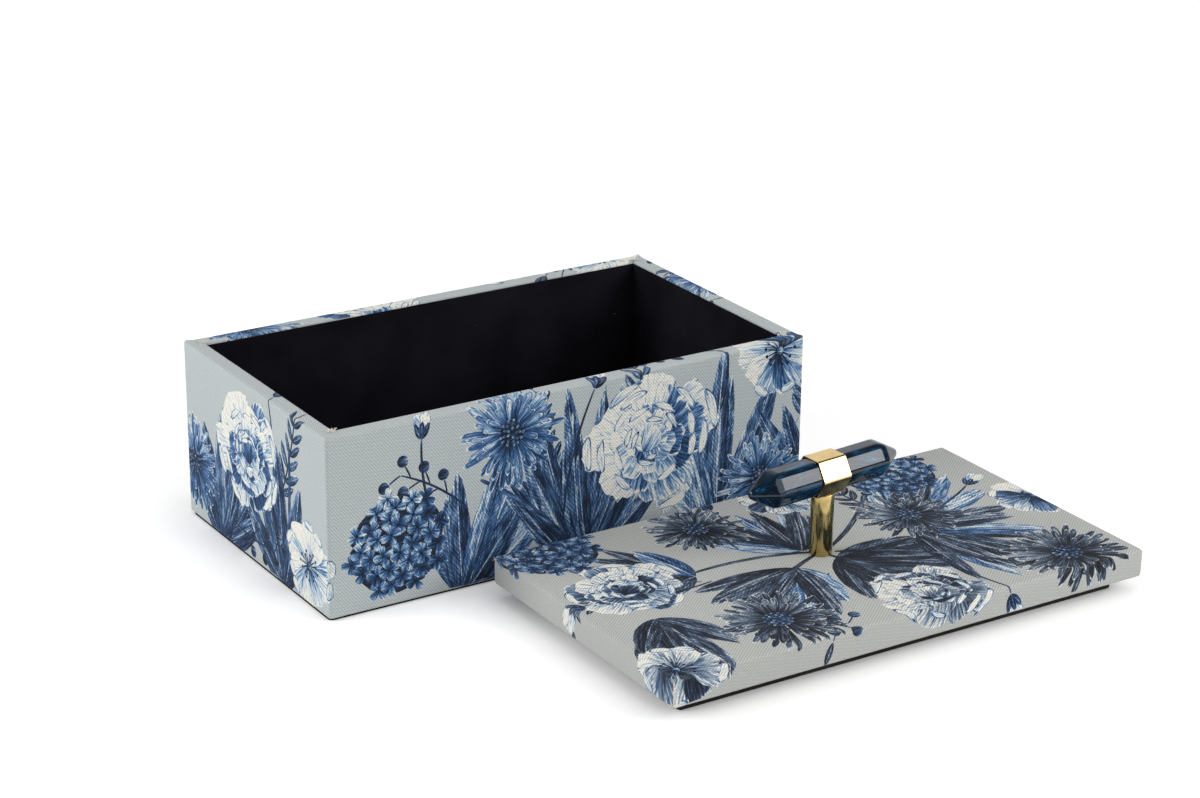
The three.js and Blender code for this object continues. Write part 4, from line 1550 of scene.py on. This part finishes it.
def hexagon_bar(name, flats, length):
    """A six-sided cylinder primitive along X with flats above and below, in edit mode."""
    bpy.ops.object.select_all(action="DESELECT")
    radius = flats / 2 / math.cos(math.pi / 6)
    bpy.ops.mesh.primitive_cylinder_add(vertices=6, radius=radius, depth=length, end_fill_type="NGON")
    piece = bpy.context.active_object
    name_piece(piece, name)
    piece.rotation_euler = (math.pi / 2, 0.0, math.pi / 2)
    bpy.ops.object.transform_apply(location=True, rotation=True, scale=True)
    if max(face.normal.z for face in piece.data.polygons) < FACING:
        piece.rotation_euler = (math.pi / 6, 0.0, 0.0)
        bpy.ops.object.transform_apply(location=True, rotation=True, scale=True)
    bpy.ops.object.mode_set(mode="EDIT")
    return piece


def flat_facets(piece):
    """Keep the large facets flat, so that only the rounded edges bend a reflection."""
    apply_modifier(piece, "flat facets", "WEIGHTED_NORMAL", keep_sharp=True)


def handle_places():
    """The middle of the post in plan and the height of the bar's axis, in millimetres."""
    low, high = millimetres("handle_post")
    bar_low, bar_high = millimetres("handle_bar")
    return (low[0] + high[0]) / 2, (low[1] + high[1]) / 2, (bar_low[2] + bar_high[2]) / 2


class HandleBar(bpy.types.Operator):
    """Cut the six-sided resin bar with its blunt pointed ends"""

    bl_idname = "storage_box.handle_bar"
    bl_label = "Handle bar"

    def execute(self, context):
        settings = context.scene.box_handle
        point = settings.point_length
        taper = settings.tip_flats / settings.bar_flats
        piece = hexagon_bar("resin_bar", settings.bar_flats, settings.bar_length - 2 * point)
        for side in (-1, 1):
            pick_faces(piece, lambda normal: normal.x * side > FACING)
            bpy.ops.mesh.extrude_region_move(TRANSFORM_OT_translate={"value": (side * point, 0.0, 0.0)})
            bpy.ops.transform.resize(value=(1.0, taper, taper))
        shoulder = (settings.bar_length / 2 - point) / MM
        pick_edges(piece, lambda a, b: max(abs(abs(a.x) - shoulder), abs(abs(b.x) - shoulder)) < TOUCH)
        bpy.ops.mesh.bevel(offset=settings.bar_shoulder, segments=9, affect="EDGES")
        bpy.ops.mesh.select_all(action="DESELECT")
        bpy.ops.mesh.edges_select_sharp(sharpness=math.radians(GROUND_EDGE))
        bpy.ops.mesh.bevel(offset=settings.bar_edge, segments=5, affect="EDGES")
        smooth_finish(FACET_BEND)
        set_in_place(piece, handle_places(), settings.turn)
        flat_facets(piece)
        piece.data.materials.append(resin_material(settings, "polished marbled resin"))
        dress(piece, "lid", "marbled_resin", "handle_bar")
        return {"FINISHED"}


class HandleCollar(bpy.types.Operator):
    """Fold the six-sided brass collar round the bar"""

    bl_idname = "storage_box.handle_collar"
    bl_label = "Handle collar"

    def execute(self, context):
        settings = context.scene.box_handle
        piece = hexagon_bar("brass_collar", settings.collar_flats, settings.collar_length)
        pick_faces(piece, lambda normal: abs(normal.x) > FACING)
        bpy.ops.mesh.delete(type="FACE")
        bpy.ops.object.mode_set(mode="OBJECT")
        apply_modifier(
            piece, "folded corners", "BEVEL", limit_method="ANGLE", width=settings.collar_fold, segments=4
        )
        apply_modifier(
            piece, "sheet", "SOLIDIFY", thickness=settings.collar_wall, offset=-1.0, use_even_offset=True
        )
        apply_modifier(
            piece,
            "worn rims",
            "BEVEL",
            limit_method="ANGLE",
            angle_limit=math.radians(WORN_EDGE),
            width=settings.collar_rim,
            segments=2,
        )
        smooth_finish(FACET_BEND)
        set_in_place(piece, handle_places(), settings.turn)
        flat_facets(piece)
        tones = (settings.brass_haze, settings.brass)
        brass = brass_material("polished brass, collar", COLLAR_LINES, depth=0.10, tones=tones)
        piece.data.materials.append(brass)
        dress(piece, "lid", "polished_brass", "handle_collar")
        return {"FINISHED"}


class HandlePost(bpy.types.Operator):
    """Turn the round brass post"""

    bl_idname = "storage_box.handle_post"
    bl_label = "Handle post"

    def execute(self, context):
        settings = context.scene.box_handle
        low, high = millimetres("handle_post")
        radius = (high[0] - low[0]) / 2 * MM
        bpy.ops.object.select_all(action="DESELECT")
        bpy.ops.mesh.primitive_cylinder_add(vertices=64, radius=radius, depth=(high[2] - low[2]) * MM)
        piece = context.active_object
        name_piece(piece, "brass_post")
        bpy.ops.object.mode_set(mode="EDIT")
        pick_edges(piece, lambda a, b: abs(a.z - b.z) < TOUCH)
        bpy.ops.mesh.bevel(offset=settings.post_edge, segments=3, affect="EDGES")
        smooth_finish()
        x, y, _ = handle_places()
        set_in_place(piece, (x, y, (low[2] + high[2]) / 2), 0.0)
        # Darker olive tones: painted reflection of the dark print round the post
        tones = (settings.post_haze_painted_darker, settings.post_brass_painted_darker)
        brass = brass_material("drawn brass, post", POST_LINES, depth=1.0, tones=tones)
        piece.data.materials.append(brass)
        dress(piece, "lid", "polished_brass", "handle_post")
        return {"FINISHED"}


# Hidden pieces


def board_material(name):
    """Medium density fibreboard: pale brown pressed fibres, a little cloudy."""
    material, tree = blank_material(name)
    coords = node(tree, "TexCoord").outputs["Object"]
    # Fibre bundles of about 1 mm in a cloud of about 8 mm
    fibres = node(tree, "TexNoise", {"Vector": coords, "Scale": per_metre(1.0), "Detail": 3.0})
    cloud = node(tree, "TexNoise", {"Vector": coords, "Scale": per_metre(8.333), "Detail": 3.0})
    mixed = node(tree, "Math", (fibres, cloud), operation="ADD")
    half = node(tree, "Math", (mixed, 0.5), operation="MULTIPLY")
    browns = ((0.35, linear("#8F6C45")), (0.5, linear("#AE8757")), (0.65, linear("#C39D6C")))
    colour = node(tree, "ValToRGB", {"Fac": half}, browns)
    bump = node(tree, "Bump", {"Height": fibres, "Strength": 0.3, "Distance": 0.0002})
    shader = node(tree, "BsdfPrincipled", {"Base Color": colour, "Roughness": 0.8, "Normal": bump})
    node(tree, "OutputMaterial", {"Surface": shader})
    return material


def zinc_material(name):
    """Zinc-plated steel: a cool grey metal with a faint crystal mottle."""
    material, tree = blank_material(name)
    coords = node(tree, "TexCoord").outputs["Object"]
    # Crystals of about 1.5 mm
    mottle = node(tree, "TexVoronoi", {"Vector": coords, "Scale": per_metre(1.538)}).outputs["Color"]
    level = node(tree, "SeparateColor", (mottle,))
    greys = ((0.0, linear("#A9ADB2")), (1.0, linear("#C9CDD1")))
    colour = node(tree, "ValToRGB", {"Fac": level}, greys)
    rough = node(tree, "MapRange", {"Value": level, "To Min": 0.28, "To Max": 0.42})
    shader = node(tree, "BsdfPrincipled", {"Base Color": colour, "Metallic": 1.0, "Roughness": rough})
    node(tree, "OutputMaterial", {"Surface": shader})
    return material


class HiddenPieces(bpy.types.Operator):
    """Give the boards and the fastening under the cloth their own finish"""

    bl_idname = "storage_box.hidden_pieces"
    bl_label = "Boards and fastening"

    def execute(self, context):
        board = board_material("medium density fibreboard")
        zinc = zinc_material("zinc-plated steel")
        walls = ("front_board", "back_board", "left_board", "right_board")
        boards = (*walls, "base_board", "lid_board", "plug_board")
        for names, material in ((boards, board), (("handle_screw", "screw_washer"), zinc)):
            for name in names:
                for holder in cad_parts[name].material_slots:
                    holder.material = material
        return {"FINISHED"}


# Stage, in metres

FLOOR_SIZE = 24.0
PAPER_GLOW = {"From Min": 0.5, "From Max": 2.5, "To Min": 0.34, "To Max": 0.74}  # by distance
GLOW_FROM = (0.1, -0.6, 0.8)  # direction that the glow comes from
GLOW_SHADE = 0.024  # how far from the object it is shaded
SENSOR_WIDTH = 36.0  # the camera's, in millimetres

# Softboxes: place, aim, size, setting of the power, tint, and whether gloss shows them
PLAIN_LIGHT = (1.0, 1.0, 1.0)
WARM_LIGHT = (1.0, 0.965, 0.925)
SOFTBOXES = {
    "key softbox": ((1.03, -1.10, 0.75), (0.077, -0.164, 0.06), 0.75, "key_power", PLAIN_LIGHT, True),
    "overhead softbox": ((0.2, -0.45, 1.6), (0.05, -0.1, 0.0), 1.6, "top_power", WARM_LIGHT, False),
    "front fill": ((0.5, -1.9, 1.2), (0.05, -0.1, 0.05), 1.2, "fill_power", PLAIN_LIGHT, True),
    "side softbox": ((-1.35, 0.45, 0.75), (0.0, 0.0, 0.05), 0.8, "side_power", PLAIN_LIGHT, True),
}


def seen_directly(tree):
    """The light path's outputs, and 1 for rays that should meet a white background."""
    path = node(tree, "LightPath").outputs
    direct = (path["Is Camera Ray"], path["Is Transmission Ray"])
    return path, node(tree, "Math", direct, operation="MAXIMUM")


class Stage(bpy.types.Operator):
    """Set the white floor, the soft studio light and the camera"""

    bl_idname = "storage_box.stage"
    bl_label = "Stage"

    def execute(self, context):
        settings = context.scene.box_stage
        context.scene.view_settings.view_transform = "Standard"
        self.lay_floor(context, settings)
        self.light_room(context, settings)
        self.place_camera(context, settings)
        return {"FINISHED"}

    def lay_floor(self, context, settings):
        """Seamless white paper, which glows a little more far off, where the lamps don't reach."""
        bpy.ops.object.select_all(action="DESELECT")
        bpy.ops.mesh.primitive_plane_add(size=FLOOR_SIZE)
        floor = context.active_object
        floor.name = "studio_floor"
        material, tree = blank_material("white seamless paper")
        path, seen = seen_directly(tree)
        seen = node(tree, "Math", (seen, path["Is Glossy Ray"]), operation="MAXIMUM")
        coords = node(tree, "TexCoord").outputs["Object"]
        away = node(tree, "VectorMath", (coords,), operation="LENGTH").outputs["Value"]
        glow = node(tree, "MapRange", {"Value": away, **PAPER_GLOW})
        # Painted shadow: the glow dies away close to the object, on the sides that it doesn't come from
        towards = node(tree, "CombineXYZ", GLOW_FROM)
        shading = {"Distance": GLOW_SHADE, "Normal": towards}
        painted_shade_factor = node(tree, "AmbientOcclusion", shading, samples=8).outputs["AO"]
        glow = node(tree, "Math", (glow, painted_shade_factor), operation="MULTIPLY")
        glow = node(tree, "Math", (glow, seen), operation="MULTIPLY")
        paper = node(tree, "BsdfDiffuse", {"Color": settings.paper})
        lit = node(tree, "Emission", {"Color": linear("#FFFFFF"), "Strength": glow})
        both = node(tree, "AddShader", (paper, lit))
        node(tree, "OutputMaterial", {"Surface": both})
        floor.data.materials.append(material)

    def light_room(self, context, settings):
        """A white backdrop behind and a dark room elsewhere, as gloss shows them, and four softboxes."""
        world = bpy.data.worlds.new("studio")
        context.scene.world = world
        world.use_nodes = True
        tree = world.node_tree
        tree.nodes.clear()
        path, seen = seen_directly(tree)
        coords = node(tree, "TexCoord").outputs["Generated"]
        way = node(tree, "SeparateXYZ", (coords,)).outputs
        behind = node(tree, "MapRange", {"Value": way[1], "From Min": -0.1, "From Max": 0.35})
        low = node(tree, "MapRange", {"Value": way[2], "From Min": 0.75, "From Max": 0.45})
        backdrop = node(tree, "Math", (behind, low), operation="MULTIPLY")
        gloss = node(tree, "MapRange", {"Value": backdrop, "To Min": 0.12, "To Max": 0.95})
        level = node(tree, "Mix", {0: path["Is Glossy Ray"], 2: settings.room_light, 3: gloss})
        level = node(tree, "Mix", {0: seen, 2: level, 3: 1.0})
        sky = node(tree, "Background", {"Color": linear("#FFFFFF"), "Strength": level})
        node(tree, "OutputWorld", {"Surface": sky})
        for name, (place, aim, size, power, tint, mirrored) in SOFTBOXES.items():
            lamp = bpy.data.lights.new(name, "AREA")
            lamp.size = size
            lamp.energy = getattr(settings, power)
            lamp.color = tint
            holder = bpy.data.objects.new(name, lamp)
            holder.location = place
            holder.rotation_euler = (Vector(aim) - Vector(place)).to_track_quat("-Z", "Y").to_euler()
            holder.visible_glossy = mirrored
            context.collection.objects.link(holder)

    def place_camera(self, context, settings):
        """The view along the heading, with a small roll."""
        camera = bpy.data.cameras.new("camera")
        camera.sensor_width = SENSOR_WIDTH
        camera.sensor_fit = "HORIZONTAL"
        camera.lens = settings.lens
        holder = bpy.data.objects.new("camera", camera)
        forward = Vector(settings.heading).normalized()
        right = forward.cross(Vector((0.0, 0.0, 1.0))).normalized()
        up = right.cross(forward)
        cos, sin = math.cos(settings.roll), math.sin(settings.roll)
        rolled = (right * cos - up * sin, up * cos + right * sin, -forward)
        turned = Matrix(rolled).transposed().to_4x4()
        holder.matrix_world = Matrix.Translation(settings.camera_place) @ turned
        context.collection.objects.link(holder)
        context.scene.camera = holder


# Panel and registration


class BoxPanel(bpy.types.Panel):
    """Lists the settings and the steps that build the box"""

    bl_idname = "VIEW3D_PT_storage_box"
    bl_label = "Storage Box"
    bl_space_type = "VIEW_3D"
    bl_region_type = "UI"
    bl_category = "Storage Box"

    def draw(self, context):
        for operator in OPERATORS:
            self.layout.operator(operator.bl_idname)
        for name, group in GROUPS.items():
            column = self.layout.column()
            for setting in group.__annotations__:
                column.prop(getattr(context.scene, name), setting)


OPERATORS = (
    Stage,
    BodyWrap,
    LidWrap,
    CornerThreads,
    Linings,
    BaseFelt,
    PlugCover,
    HandleBar,
    HandleCollar,
    HandlePost,
    HiddenPieces,
)
GROUPS = {
    "box_cloth": ClothSettings,
    "box_lining": LiningSettings,
    "box_handle": HandleSettings,
    "box_stage": StageSettings,
}


def register():
    """Make the classes and the settings known to Blender."""
    for kind in (*GROUPS.values(), *OPERATORS, BoxPanel):
        bpy.utils.register_class(kind)
    for name, group in GROUPS.items():
        setattr(bpy.types.Scene, name, bpy.props.PointerProperty(type=group))


def unregister():
    """Take the settings and the classes out again."""
    for name in GROUPS:
        delattr(bpy.types.Scene, name)
    for kind in (BoxPanel, *reversed(OPERATORS), *GROUPS.values()):
        bpy.utils.unregister_class(kind)


def main():
    """Build the box piece by piece."""
    register()
    for operator in OPERATORS:
        getattr(bpy.ops.storage_box, operator.bl_idname.split(".")[1])()


if __name__ == "__main__":
    main()
